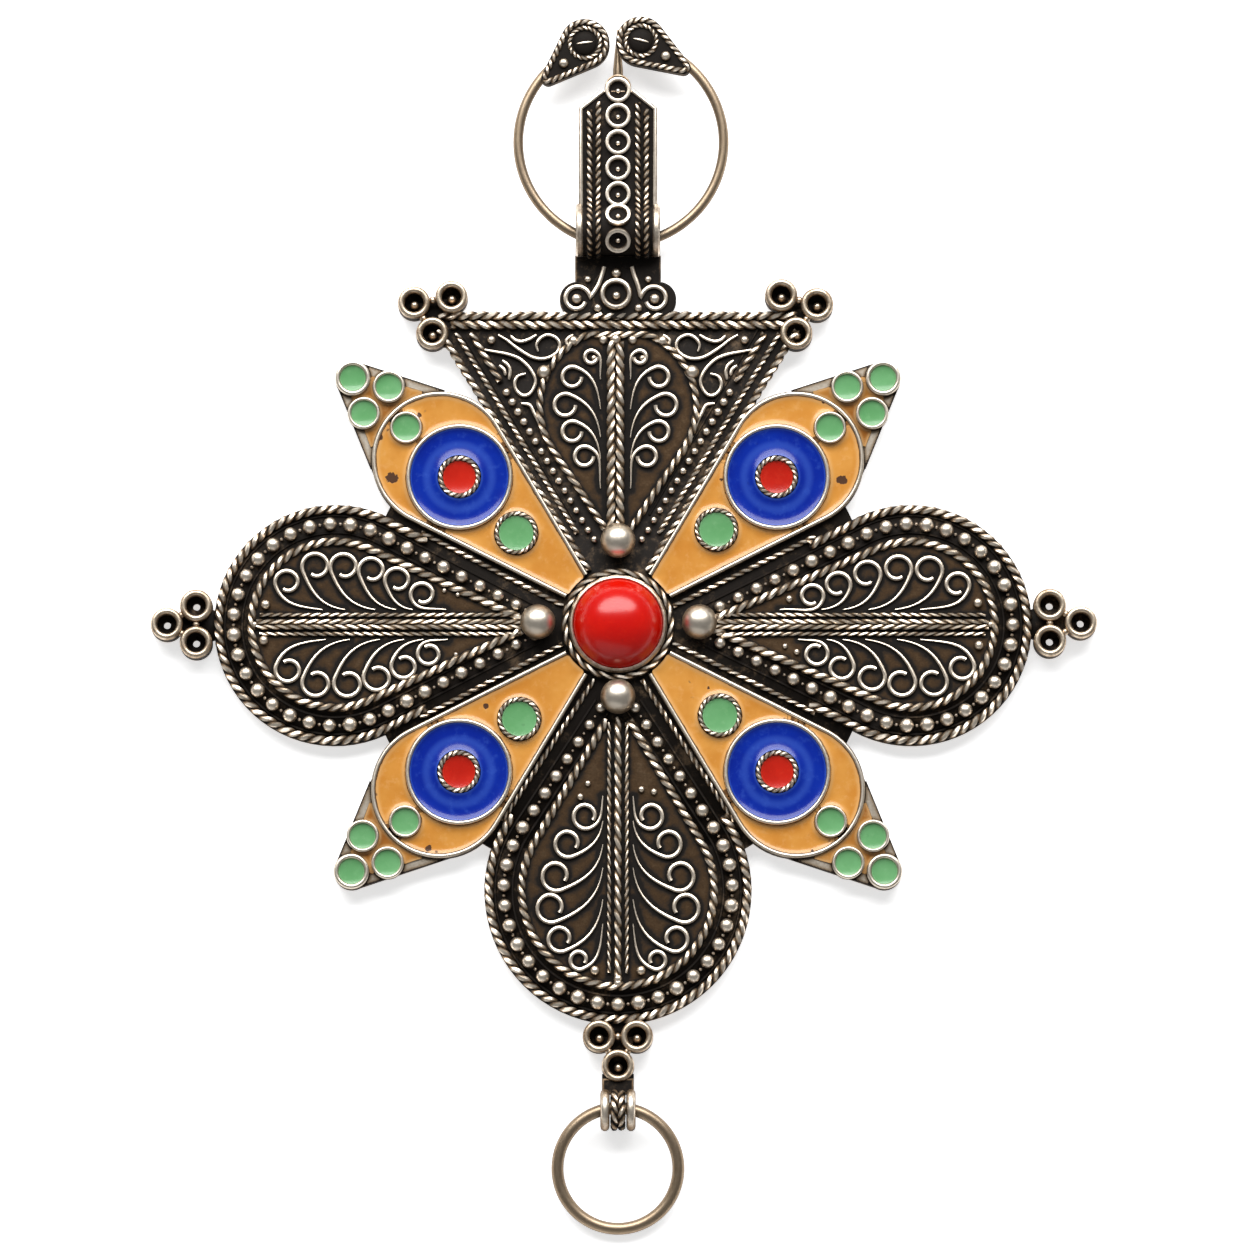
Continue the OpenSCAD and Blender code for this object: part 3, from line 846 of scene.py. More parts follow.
@dataclass(frozen=True)
class Drop:
    """A drop outline: a circle with two straight flanks that meet at an apex on the Y axis."""

    middle: float
    radius: float
    apex: float

    @property
    def lean(self) -> float:
        """Half the opening angle at the apex, in radians."""
        return math.asin(self.radius / (self.middle - self.apex))

    def line(self, start: float, high: float, steps: int = 90) -> Line:
        """Runs from the right flank round to the left one.

        Args:
            start: Distance from the hub where both flanks begin.
            high: Height of the line.
            steps: Steps round the circle.

        Returns:
            The points of the line.
        """
        half = (start - self.apex) * math.tan(self.lean)
        bend = arc((0, self.middle), self.radius, -self.lean, math.pi + self.lean, steps)
        return level([(half, start), *bend, (-half, start)], high)

    def inset(self, width: float) -> "Drop":
        """Returns the drop that lies a width inside this one."""
        return Drop(self.middle, self.radius - width, self.apex + width / math.sin(self.lean))

    def clearance(self, x: float, y: float) -> float:
        """Measures how far a point lies inside the drop.

        Args:
            x: Its place across.
            y: Its place along.

        Returns:
            The distance, negative for a point outside.
        """
        lean = self.lean
        touch = self.middle - self.radius * math.sin(lean)
        if y < touch and y < self.middle - abs(x) * math.tan(lean):
            return (y - self.apex) * math.sin(lean) - abs(x) * math.cos(lean)
        return self.radius - math.hypot(x, y - self.middle)


@dataclass
class Filigree:
    """A filigree field: dark ground, leaf-shaped rope, plaited spine and scroll wires.

    Each scroll has its place across and along, the radius of its head and where it roots.
    """

    side: str
    turn: float
    leaf: Drop
    spine_end: float
    scrolls_left: Sequence[Row]
    scrolls_right: Sequence[Row]
    grains: Sequence[Mark]
    start: float = 12.4
    leaf_rope: float = 0.54
    leaf_grain: float = 1.35
    ground_z: float = 1.87
    wire: float = 0.29
    head_start: float = 112
    curl: float = 318
    shrink: float = 0.34
    plait: float = 0.33
    beside: float = 1.15
    single: bool = False
    trim: float = 60.0
    shift: float = 0.0
    seed: int = 3

    def scroll(self, side: int, row: Row) -> Line:
        """Returns the middle line of one scroll wire.

        Args:
            side: 1 for the right of the spine and -1 for the left.
            row: Across, along, radius of the head and along of the root.

        Returns:
            The points of the wire.
        """
        across, along, head, root = row
        high = self.ground_z + 0.14
        opening = math.radians(self.head_start)
        first = Vector((1.8, root, high))
        join = Vector((across + head * math.cos(opening), along + head * math.sin(opening), high))
        reach = (join - first).length
        pull = first + Vector((0.12, 1.0, 0)) * reach * 0.42
        push = join - Vector((0.93, 0.37, 0)) * reach * 0.4
        line = []
        for t in (index / 10 for index in range(10)):
            near = first * (1 - t) ** 3 + pull * 3 * t * (1 - t) ** 2
            line.append(near + push * 3 * t**2 * (1 - t) + join * t**3)
        for share in (index / 24 for index in range(25)):
            angle = opening - math.radians(self.curl) * share
            size = head * (1 - self.shrink * max(0.0, share - 0.6) / 0.4)
            line.append(Vector((across + size * math.cos(angle), along + size * math.sin(angle), high)))
        return [Vector((side * place.x + self.shift, place.y, place.z)) for place in line]

    def ground(self, wires: Sequence[Path]) -> None:
        """Makes the ground sheet, blackest along the foot of the wires with tarnish and painted shade.

        Args:
            wires: The middle lines of all its wires.
        """
        edge = self.leaf.inset(-0.4)
        lines = [spaced(line, max(2, int(line_length(line) / 0.2))) for line in wires]
        tree = nearest(level([place for line in lines for place in line], 0))
        low = self.start - 0.6
        far = self.leaf.middle + edge.radius
        cell = 0.24

        def tarnish_and_shade_by_wires(x: float, y: float, room: float) -> float:
            """Relief of the ground: tarnish and painted shade, darkest at the foot of the wires and paler
            away from them.
            """
            away = tree.find((x, y, 0))[2]
            return 0.03 + 0.62 * (1 - math.exp(-max(0.0, away - 0.3) / 0.45))

        piece = Piece(f"filigree_{self.side}_ground", self.seed)
        piece.tray(
            lambda x, y: min(edge.clearance(x, y), y - low),
            (low + far) / 2, (2 * int(edge.radius / cell) + 4, int((far - low) / cell) + 4), cell, 1.45,
            lambda x, y, room: self.ground_z, tarnish_and_shade_by_wires,
        )
        piece.place(turned(self.turn)).finish(GROUND_SILVER, f"panel_{self.side}")

    def spine(self, piece: Piece) -> None:
        """Lays one rope or two along the middle, and a thin rope on each side of it.

        Args:
            piece: The piece that it becomes part of.
        """
        high = self.ground_z + self.plait * 0.8
        start, end = self.start - 1.2, self.spine_end
        if self.single:
            piece.rope(level([(0, start), (0, end)], high), self.plait, 1.5, worn=0.15)
        for side, hand in ((-1, Hand.LEFT), (1, Hand.RIGHT)):
            if not self.single:
                x = side * self.plait * 0.95
                piece.rope(level([(x, start), (x, end)], high), self.plait, 1.4, hand, worn=0.12)
            if self.beside:
                x = side * self.beside
                line = level([(x, start + 0.6), (x, end - 0.4)], high - 0.06)
                piece.rope(line, 0.26, 1.15, hand, worn=0.08)
        piece.ball((0, end + self.plait * 0.6, high), self.plait * 1.15)

    def build(self) -> None:
        """Makes the ground and the wire work of the field."""
        piece = Piece(f"filigree_{self.side}_work", self.seed)
        self.spine(piece)
        piece.place(moved(self.shift, 0))
        edge = self.leaf.line(self.start - 0.9, self.ground_z + 0.1)
        edge = [Vector((place.x, min(place.y, self.trim), place.z)) for place in edge]
        piece.rope(edge, self.leaf_rope, self.leaf_grain, worn=0.05)
        wires = [self.scroll(1, row) for row in self.scrolls_right]
        wires += [self.scroll(-1, row) for row in self.scrolls_left]
        across = [self.shift + x for x in (-0.9, 0, 0.9)]
        middle = [level([(x, self.start), (x, self.spine_end)], 0) for x in across]
        self.ground([*wires, *middle, self.leaf.line(self.start, 0)])
        piece.wires(wires, self.wire, sides=2, swell=lambda share: 0.25 + 0.75 * min(1.0, share * 3.2))
        for x, y, radius in self.grains:
            piece.ball((x, y, self.ground_z + radius * 0.45), radius)
        piece.place(turned(self.turn)).finish(WIRE_SILVER, f"panel_{self.side}")


@dataclass
class Lobe:
    """One drop-shaped lobe: rope border, channel and row of beads."""

    side: str
    turn: float
    edge: Drop
    seed: int
    bead_inset: float = 2.35
    rope: float = 0.57
    grain: float = 1.3
    bead: float = 0.86
    small_bead: float = 0.6
    step: float = 2.47
    start: float = 6.6
    notch: float = 23.0

    def build(self) -> None:
        """Makes the border's ropes, channel lines and beads."""
        piece = Piece(f"lobe_{self.side}_border", self.seed)
        line = self.edge.inset(self.rope).line(self.notch, SHEET_TOP + ROPE_RISE)
        piece.rope(line, self.rope, self.grain, worn=0.05)
        beside = self.edge.inset(-0.15).line(self.start, SHEET_TOP + 0.2)
        for first, last in (beside[:2], beside[:-3:-1]):
            stop = first.lerp(last, (self.notch + 0.6 - first.y) / (last.y - first.y))
            piece.rope([first, stop], 0.34, 1.1, Hand.RIGHT if first.x > 0 else Hand.LEFT, worn=0.08)
        for inset, radius in ((1.32, 0.15), (3.38, 0.17)):
            lip = self.edge.inset(inset).line(self.start + 2.4, SHEET_TOP + 0.05)
            piece.wires([lip], radius, relief=sunken)
        row = self.edge.inset(self.bead_inset).line(self.start + 3.4, SHEET_TOP)
        for index, place in enumerate(spaced(row, round(line_length(row) / self.step) * 2)):
            share = held((place.y - self.start) / (self.edge.middle - self.start))
            if index % 2:
                piece.ball((place.x, place.y, SHEET_TOP + 0.12), 0.17 + 0.06 * share, 1)
                continue
            radius = self.small_bead + (self.bead - self.small_bead) * min(1.0, share * 1.35)
            radius *= 1 + piece.luck.uniform(-0.06, 0.05)
            piece.ball((place.x, place.y, SHEET_TOP + radius * 0.6), radius, 3, low=0.35)
        piece.place(turned(self.turn)).finish(BODY_SILVER, "plate")


@dataclass
class Sheet:
    """The backing sheet, cut from a copy of the CAD plate below its raised work."""

    level: float = 1.49
    bail_end: float = -55.6

    def build(self) -> None:
        """Makes the sheet and closes the cuts."""
        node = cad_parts["plate"]
        work = bmesh.new()
        work.from_mesh(node.data)
        bmesh.ops.transform(work, matrix=node.matrix_world, verts=work.verts)
        bmesh.ops.remove_doubles(work, verts=work.verts, dist=1e-7)
        bmesh.ops.scale(work, vec=(1 / MM, 1 / MM, 1 / MM), verts=work.verts)
        for place, normal in (((0, 0, self.level), (0, 0, 1)), ((0, self.bail_end, 0), (0, -1, 0))):
            geom = work.verts[:] + work.edges[:] + work.faces[:]
            cut = bmesh.ops.bisect_plane(
                work, geom=geom, dist=1e-4, plane_co=place, plane_no=normal, clear_outer=True)
            rim = [item for item in cut["geom_cut"] if isinstance(item, bmesh.types.BMEdge)]
            bmesh.ops.triangle_fill(work, edges=rim, use_beauty=True, normal=normal)
        piece = Piece("backing_sheet")
        piece.take(to_mesh("sheet_cut", work), lambda place, normal: 0.2 if place.z > 0.7 else 0.4)
        piece.finish(BODY_SILVER, "plate")


CORNER_WIRES = (
    ((14.4, 35.0), (13.4, 34.4), (12.4, 33.6), (11.4, 32.9), (10.3, 32.3), (9.2, 32.1), (8.2, 32.3),
     (7.3, 32.9), (7.0, 33.8), (7.4, 34.6), (8.4, 35.0), (9.3, 34.6), (9.8, 33.8), (9.6, 33.0)),
    ((16.0, 33.2), (15.0, 33.0), (13.4, 32.7), (12.0, 32.2), (11.0, 31.4), (10.3, 30.5), (9.9, 29.5),
     (10.1, 28.6), (10.7, 27.8), (11.5, 27.7), (12.2, 28.3), (12.4, 29.2), (12.0, 30.0), (11.1, 30.3)),
    ((13.9, 31.9), (13.2, 31.3), (12.95, 30.6), (13.1, 29.6)),
    ((14.3, 31.3), (13.7, 30.8), (13.5, 30.1)),
    ((9.8, 35.0), (10.6, 34.5), (11.6, 34.2), (12.4, 34.4), (12.9, 34.9)),
    ((11.6, 26.7), (10.6, 26.5), (10.1, 25.6), (9.5, 24.4), (8.9, 22.6)),
    ((5.4, 35.0), (6.2, 34.3), (5.8, 33.3)),
)
CORNER_BALLS = ((8.9, 30.5, 0.84, 3), (15.2, 34.4, 0.54, 2), (5.35, 34.3, 0.62, 2), (1.75, 34.4, 0.6, 2))


@dataclass
class Triangle:
    """The upper field's border: double rope on top, ropes and small beads down its sides."""

    top: float = 37.32
    half: float = 21.8
    row_gap: float = 1.12
    bead: float = 0.55
    bead_step: float = 1.38

    def build(self) -> None:
        """Makes the ropes, the beads and the corner work."""
        piece = Piece("triangle_border", 11)
        high = SHEET_TOP + ROPE_RISE
        for row, hand in enumerate((Hand.RIGHT, Hand.LEFT)):
            y = self.top - row * self.row_gap
            reach = self.half - 0.3 - row * 1.4
            piece.rope(level([(-reach, y), (reach, y)], high), 0.57, 1.44, hand, worn=0.06)
        for side, hand in ((-1, Hand.RIGHT), (1, Hand.LEFT)):
            piece.rope(level([(side * 21.5, 35.6), (side * 3.55, 6.5)], high), 0.5, 1.25, hand, worn=0.1)
            second = level([(side * 19.4, 35.2), (side * 4.9, 11.0)], high - 0.1)
            piece.rope(second, 0.34, 0.9, hand, worn=0.1)
            first, last = level([(side * 17.6, 35.2), (side * 2.7, 9.9)], SHEET_TOP)
            along = (last - first).normalized()
            piece.rope(level([first, first + along * 6.8], high), 0.46, 1.3, hand)
            for index in range(6, int((last - first).length / self.bead_step)):
                place = first + along * (index * self.bead_step) + Vector((0, 0, 0.3))
                piece.ball(place, (self.bead - 0.006 * index) * piece.luck.uniform(0.95, 1.05))
            piece.ball((side * 2.85, 10.3, SHEET_TOP + 0.3), 0.42)
            inward = Vector((-along.y, along.x, 0))
            lip = level([first - inward * 0.95, last - along * 3.5 - inward * 0.8], SHEET_TOP + 0.05)
            piece.wires([lip], 0.16, relief=sunken)
        piece.finish(BODY_SILVER, "plate")
        self.corners()

    def corners(self) -> None:
        """Makes the scrolls, leaves and balls outside the upper leaf."""
        piece = Piece("corner_work", 12)
        for side in (-1, 1):
            lines = [[(side * x, y, SHEET_TOP + 0.3) for x, y in line] for line in CORNER_WIRES]
            piece.wires(
                [smooth_line(line) for line in lines], 0.235, sides=2,
                swell=lambda share: 0.6 + 0.4 * min(1.0, share * 5, (1 - share) * 8),
            )
            for x, y, radius, detail in CORNER_BALLS:
                piece.ball((side * x, y, SHEET_TOP + radius * 0.6), radius, detail)
        piece.finish(WIRE_SILVER, "plate")


@dataclass(frozen=True)
class Spot:
    """One enamelled spot of a petal: its distance, turn from the petal's axis and ring."""

    distance: float
    turn: float
    outer: float
    inner: float
    roped: bool = False

    @property
    def place(self) -> Plan:
        """The spot's place in the petal's own plan."""
        angle = math.radians(self.turn)
        return -self.distance * math.sin(angle), self.distance * math.cos(angle)

    def away(self, x: float, y: float) -> float:
        """Returns how far a point lies from the outside of the spot's ring."""
        return math.dist((x, y), self.place) - self.outer


SPOTS = (
    Spot(16.4, 1, 2.62, 2.05, True),
    Spot(34.75, 0, 1.93, 1.58),
    Spot(39.7, 3.15, 1.95, 1.52),
    Spot(39.7, -3.15, 1.95, 1.52),
    Spot(43.5, 0, 2.12, 1.53),
)


@dataclass
class Petal:
    """One enamelled petal with its walls, settings and enamels."""

    number: int
    turn: float
    chips: Sequence[Mark]
    outline: Drop = Drop(29.2, 8.15, 0.0)
    disc: float = 26.0
    disc_outer: float = 6.4
    disc_inner: float = 5.88
    wall: float = 0.28
    wall_top: float = 2.6
    red_outer: float = 2.6
    red_inner: float = 1.94
    blue_inner: float = 2.62
    hub_end: float = 6.9

    def ring(self, piece: Piece, place: Plan, inner: float, outer: float, high: float) -> None:
        """Turns one plain setting ring with a round top.

        Args:
            piece: The piece that it becomes part of.
            place: Its middle in the petal's own plan.
            inner: Inner radius.
            outer: Outer radius.
            high: Height of its top.
        """
        half = (outer - inner) / 2
        profile = [(outer, FOOT), *arc((inner + half, high - half), half, 0, math.pi, 6), (inner, FOOT)]

        def rule(at: Vector, normal: Vector) -> float:
            """Relief of a ring: bright over its round top."""
            return 0.2 + 0.85 * max(0.0, (at.z - high + 1.2) / 1.2) * (0.6 + 0.4 * max(0.0, normal.z))

        piece.lathe(profile, moved(*place), 48, rule)

    def metal(self) -> None:
        """Makes the walls, the setting rings and the web at the tip."""
        piece = Piece(f"petal_metal_{self.number}", 20 + self.number)
        # The web's relief darkens it along the foot of the rings and the wall and along its own edge, as
        # tarnish and painted shade.
        piece.tray(
            self.web, 40.2, (72, 64), 0.18, FOOT, lambda x, y, room: 1.95,
            lambda x, y, room: 0.82 - 0.8 * math.exp(-max(0.0, min(room, self.gap(x, y))) / 0.22),
        )
        wall = self.outline.inset(self.wall - 0.03).line(self.hub_end, (FOOT + self.wall_top) / 2, 72)
        piece.wires([wall], self.wall, sides=2, tall=self.wall_top - FOOT - 2 * self.wall)
        self.ring(piece, (0, self.disc), self.disc_inner, self.disc_outer, 2.95)
        settings = [((0.0, self.disc), self.red_inner, self.red_outer)]
        for spot in SPOTS:
            if spot.roped:
                settings.append((spot.place, spot.inner, spot.outer))
            else:
                self.ring(piece, spot.place, spot.inner, spot.outer, 2.92)
        for place, inner, outer in settings:
            half = (outer - inner) / 2
            self.ring(piece, place, inner, outer - 0.12, 2.55)
            line = level(circle(place, inner + half, 60), 2.68)
            piece.rope(line, half, math.tau * (inner + half) / 20, closed=True, worn=0.12)
        piece.place(turned(self.turn)).finish(PLAIN_SILVER, "plate")

    def web(self, x: float, y: float) -> float:
        """Measures how far a point lies inside the plate between the petal's round and its tip.

        Args:
            x: Its place across the petal.
            y: Its place along the petal.

        Returns:
            The distance, negative for a point outside.
        """
        tip, round_end = SPOTS[4], self.outline
        lean = math.asin((round_end.radius - tip.outer) / (tip.distance - round_end.middle))
        edge = round_end.radius - abs(x) * math.cos(lean) - (y - round_end.middle) * math.sin(lean)
        if (y - tip.distance) * math.cos(lean) > abs(x) * math.sin(lean):
            edge = -tip.away(x, y)
        return min(edge, math.hypot(x, y - round_end.middle) - round_end.radius + 0.2)

    def gap(self, x: float, y: float) -> float:
        """Returns how far a point at the tip lies from the nearest ring or wall."""
        wall = math.hypot(x, y - self.outline.middle) - self.outline.radius
        return min([wall] + [spot.away(x, y) for spot in SPOTS[2:]])

    def free(self, x: float, y: float) -> float:
        """Measures how far a point of the orange ground lies from the nearest metal.

        Args:
            x: Its place across the petal.
            y: Its place along the petal.

        Returns:
            The distance, negative for a point in the metal.
        """
        walls = [self.outline.inset(0.52).clearance(x, y), math.hypot(x, y) - self.hub_end]
        rings = [math.hypot(x, y - self.disc) - self.disc_outer] + [spot.away(x, y) for spot in SPOTS[:2]]
        return min(walls + [room - 0.02 for room in rings])

    def orange(self) -> None:
        """Makes the orange ground, raised to a lip along every wall, and the stained tip."""
        def top(x: float, y: float, room: float) -> float:
            """Height of the ground: a lip along the metal, and slight waves."""
            waves = 0.04 * math.sin(x * 0.9) * math.sin(y * 0.7)
            return 2.2 + 0.22 * math.exp(-max(room, 0) / 0.45) + waves

        node = f"orange_{self.number}"
        piece = Piece(f"orange_ground_{self.number}", 30 + self.number)
        # The relief gives a pale lip of painted sheen a little inside every wall and dirt right at the walls;
        # the stained tip below gets the same.
        piece.tray(
            self.free, 21.9, (84, 156), 0.2, 1.48, top, lambda x, y, room: math.exp(-max(room, 0) / 0.38)
        )
        chip = piece.bm.verts.layers.float["chip"]
        for vert in piece.bm.verts:
            vert[chip] = max([0.0] + [1 - math.dist(vert.co[:2], (x, y)) / size for x, y, size in self.chips])
        between = Piece(f"orange_tip_{self.number}", 35 + self.number)
        between.tray(
            lambda x, y: min(self.gap(x, y) + 0.05, 0.9 * (4.3 - abs(x)) + 0.44 * (36.95 - y)),
            40.2, (60, 50), 0.16, 1.9,
            lambda x, y, room: 2.1, lambda x, y, room: math.exp(-max(0.0, room) / 0.3),
        )
        between.place(turned(self.turn)).finish(STAINED, node)
        piece.place(turned(self.turn)).finish(ORANGE, node)

    def blue(self) -> None:
        """Turns the blue disc, dished between its two settings."""
        piece = Piece(f"blue_disc_{self.number}", 40 + self.number)
        inner, outer = self.blue_inner, self.disc_inner
        profile = []
        for index in range(19):
            radius = inner + (outer - 0.02 - inner) * index / 18
            high = 2.4 + 0.36 * math.exp((inner - radius) / 0.62) + 0.34 * math.exp((radius - outer) / 0.5)
            profile.append((radius, high))
        profile += [(outer - 0.02, SHEET_TOP), (inner, SHEET_TOP)]

        def lip(at: Vector, normal: Vector) -> float:
            """Gives the relief of the disc: a paler ring painted as a highlight round the red setting, and a
            narrow pale lip of painted sheen at both settings.

            Args:
                at: A corner's place, from the disc's middle.
                normal: Its normal, which isn't needed.

            Returns:
                The relief.
            """
            radius = math.hypot(at.x, at.y)
            # This worn ring is a painted highlight: a paler ring round the red setting, where the dished blue
            # catches the light.
            worn = 0.46 * math.exp(-((radius - 3.9) / 0.75) ** 2)
            return worn + math.exp((inner - radius) / 0.16) + math.exp((radius - outer) / 0.14)

        piece.lathe(profile, turned(self.turn) @ moved(0, self.disc), 72, lip)
        piece.finish(BLUE, f"blue_{self.number}")

    def pool(self, colour: str, look: Enamel, mark: str, place: Plan, radius: float) -> None:
        """Turns one small dished spot of enamel.

        Args:
            colour: The colour in its name.
            look: Its enamel.
            mark: The numbers in its name.
            place: Its middle in the petal's own plan.
            radius: Its radius.
        """
        reach = radius + 0.02
        profile = [(reach * index / 10, 2.42 + 0.2 * (index / 10) ** 2.2) for index in range(11)]
        profile += [(reach, SHEET_TOP), (0, SHEET_TOP)]

        def lip(at: Vector, normal: Vector) -> float:
            """Relief of the spot: a narrow pale lip of painted sheen at its ring."""
            return math.exp((math.hypot(at.x, at.y) - reach) / 0.09)

        piece = Piece(f"{colour}_spot_{mark}")
        piece.lathe(profile, turned(self.turn) @ moved(*place), 40, lip)
        piece.finish(look, f"{colour}_{mark}")

    def build(self) -> None:
        """Makes the petal's metal and its enamels."""
        self.metal()
        self.orange()
        self.blue()
        self.pool("red", RED, f"{self.number}", (0, self.disc), self.red_inner)
        for index, spot in enumerate(SPOTS, 1):
            self.pool("green", GREEN, f"{self.number}_{index}", spot.place, spot.inner)


@dataclass
class Hub:
    """The coral in its collar, with the four silver balls round it."""

    coral: float = 5.34
    rim: float = 3.35
    top: float = 6.799
    rope_at: float = 6.36
    collar: Sequence[Plan] = (
        (5.37, 3.25), (5.4, 3.38), (5.52, 3.44), (5.7, 3.38), (5.86, 3.12), (5.92, 2.7), (6.05, 2.2),
        (6.75, 1.75), (6.8, 1.5), (5.37, 1.5),
    )
    balls: Sequence[Plan] = ((0, 10), (-9.6, 0.2), (0, -8.75), (9.75, 0.2))
    ball: float = 2.1
    ball_foot: Sequence[Plan] = ((0, 1.5), (1.75, 1.5), (1.7, 1.7), (1.2, 2.0), (0, 2.0))

    def build(self) -> None:
        """Makes the stone, the collar and the balls."""
        rise = self.top - self.rim
        curve = (self.coral**2 + rise**2) / (2 * rise)
        spread = math.asin(self.coral / curve)
        profile = [(0, 2.38), (self.coral - 0.04, 2.38)]
        for angle in (spread * (1 - index / 24) for index in range(25)):
            profile.append((curve * math.sin(angle), self.top - curve + curve * math.cos(angle)))
        stone = Piece("coral_dome")
        stone.lathe(profile, moved(0, 0), 96, lambda at, normal: 0.9 if at.z < self.rim + 0.12 else 0.0)
        stone.finish(CORAL, "coral")
        collar = Piece("coral_collar", 7)
        collar.lathe(self.collar, moved(0, 0), 96, lambda at, normal: 0.72 if at.z > 3.1 else 0.08)
        collar.rope(level(circle((0, 0), self.rope_at, 120), 2.28), 0.45, 1.9, Hand.LEFT, True, 0.1)
        collar.finish(BODY_SILVER, "bezel")
        for index, (x, y) in enumerate(self.balls, 1):
            knob = Piece(f"ball_{index}", 50 + index)
            knob.ball((x, y, 3.2), self.ball, 4, low=0.12)
            knob.lathe(self.ball_foot, moved(x, y), 32, even(0.1))
            knob.finish(PLAIN_SILVER, f"hub_ball_{index}")


@dataclass
class PointCups:
    """The small cups, in threes, at the points of the plate."""

    name: str
    places: Sequence[Plan]
    pierced: bool
    seed: int
    radius: float = 1.951
    bowl: float = 1.16
    top: float = 3.2

    def build(self) -> None:
        """Makes the cups, the metal between them and the grains in them."""
        piece = Piece(self.name, self.seed)

        def rule(at: Vector, normal: Vector) -> float:
            """Relief of a cup: a worn rim over a dark bowl."""
            return 0.08 + 0.84 * held((at.z - 1.9) / 0.9) * (0.6 + 0.4 * max(0.0, normal.z))

        for x, y in self.places:
            outer = self.radius * piece.luck.uniform(0.988, 0.999)
            half = (outer - self.bowl) / 2
            bend = arc((self.bowl + half, -half), half, 0, math.pi, 8)
            rim = [(reach, self.top + up * 1.05) for reach, up in bend]
            bowl = [(self.bowl - 0.02, 1.12), (self.bowl, 1.05), (outer - 0.1, 1.05)]
            piece.lathe([(outer, 1.2), *rim, *bowl], moved(x, y), 40, rule)
            if not self.pierced:
                # The granule is raised and painted bright down to its foot, a painted highlight for the glint
                # at the bottom of the bowl.
                piece.ball((x + 0.05, y - 0.2, 1.7), 0.55, low=0.5)
        for first in range(0, len(self.places), 3):
            trio = self.places[first:first + 3]
            for a, b in zip(trio, trio[1:] + trio[:1]):
                if math.dist(a, b) < 4.6:
                    piece.ball(((a[0] + b[0]) / 2, (a[1] + b[1]) / 2, 2.35), 0.45)
        piece.finish(CUP_SILVER, "plate")


@dataclass
class Crest:
    """The work above the triangle and the neck that carries the tongue."""

    low: float = 1.3
    wire_z: float = 2.28
    cup: Sequence[Plan] = (
        (1.95, 2.0), (1.95, 2.65), (1.82, 2.9), (1.6, 2.98), (1.4, 2.85), (1.3, 2.5), (1.15, 2.0),
    )

    def rule(self, at: Vector, normal: Vector) -> float:
        """Relief of the cup: dark at its foot, worn at its rim."""
        return 0.1 + 0.95 * ((at.z - 2.0) / 0.98) ** 2 * (0.5 + 0.5 * max(0, normal.z))

    def build(self) -> None:
        """Makes the crest's plates, cup, scrolls and granules."""
        piece = Piece("crest", 61)
        piece.slab(oblong(5.15, 37.4, 44.6), self.low, 2.16, 0.15, 0.15, 0.3)
        piece.slab(oblong(6.4, 37.3, 38.9), self.low, 2.12, 0.1, 0.1, 0.15)
        for x, y, radius, top in ((0, 40.1, 3.2, 2.2), (-4.9, 39.3, 2.1, 2.18), (4.9, 39.3, 2.1, 2.18)):
            piece.slab(circle((x, y), radius, 40), self.low, top, 0.12, 0.1, 0.2)
        piece.lathe(self.cup, moved(-0.25, 39.9), 40, self.rule)
        piece.ball((-0.2, 39.7, 2.2), 0.55)
        for side, middle in ((-1, 4.95), (1, 4.4)):
            knots = ((1.65, 43.2), (1.95, 42.1), (2.4, 40.9), (middle - 1.66, 39.5))
            stem = smooth_line([(side * x, y, self.wire_z) for x, y in knots])[:-1]
            for index in range(30):
                angle = math.radians(175 - 11.5 * index)
                size = 1.62 - 0.018 * index
                x, y = middle + size * math.cos(angle), 39.3 + size * math.sin(angle)
                stem.append(Vector((side * x, y, self.wire_z)))
            piece.wires([stem], 0.31, sides=2)
            grains = ((middle, 39.3, 2.45, 0.62), (2.45, 38.2, 2.35, 0.5), (3.6, 41.7, 2.35, 0.42))
            for x, y, z, radius in grains:
                piece.ball((side * x, y, z), radius)
        piece.ball((-0.2, 42.4, 2.45), 0.6)
        piece.finish(BODY_SILVER, "plate")


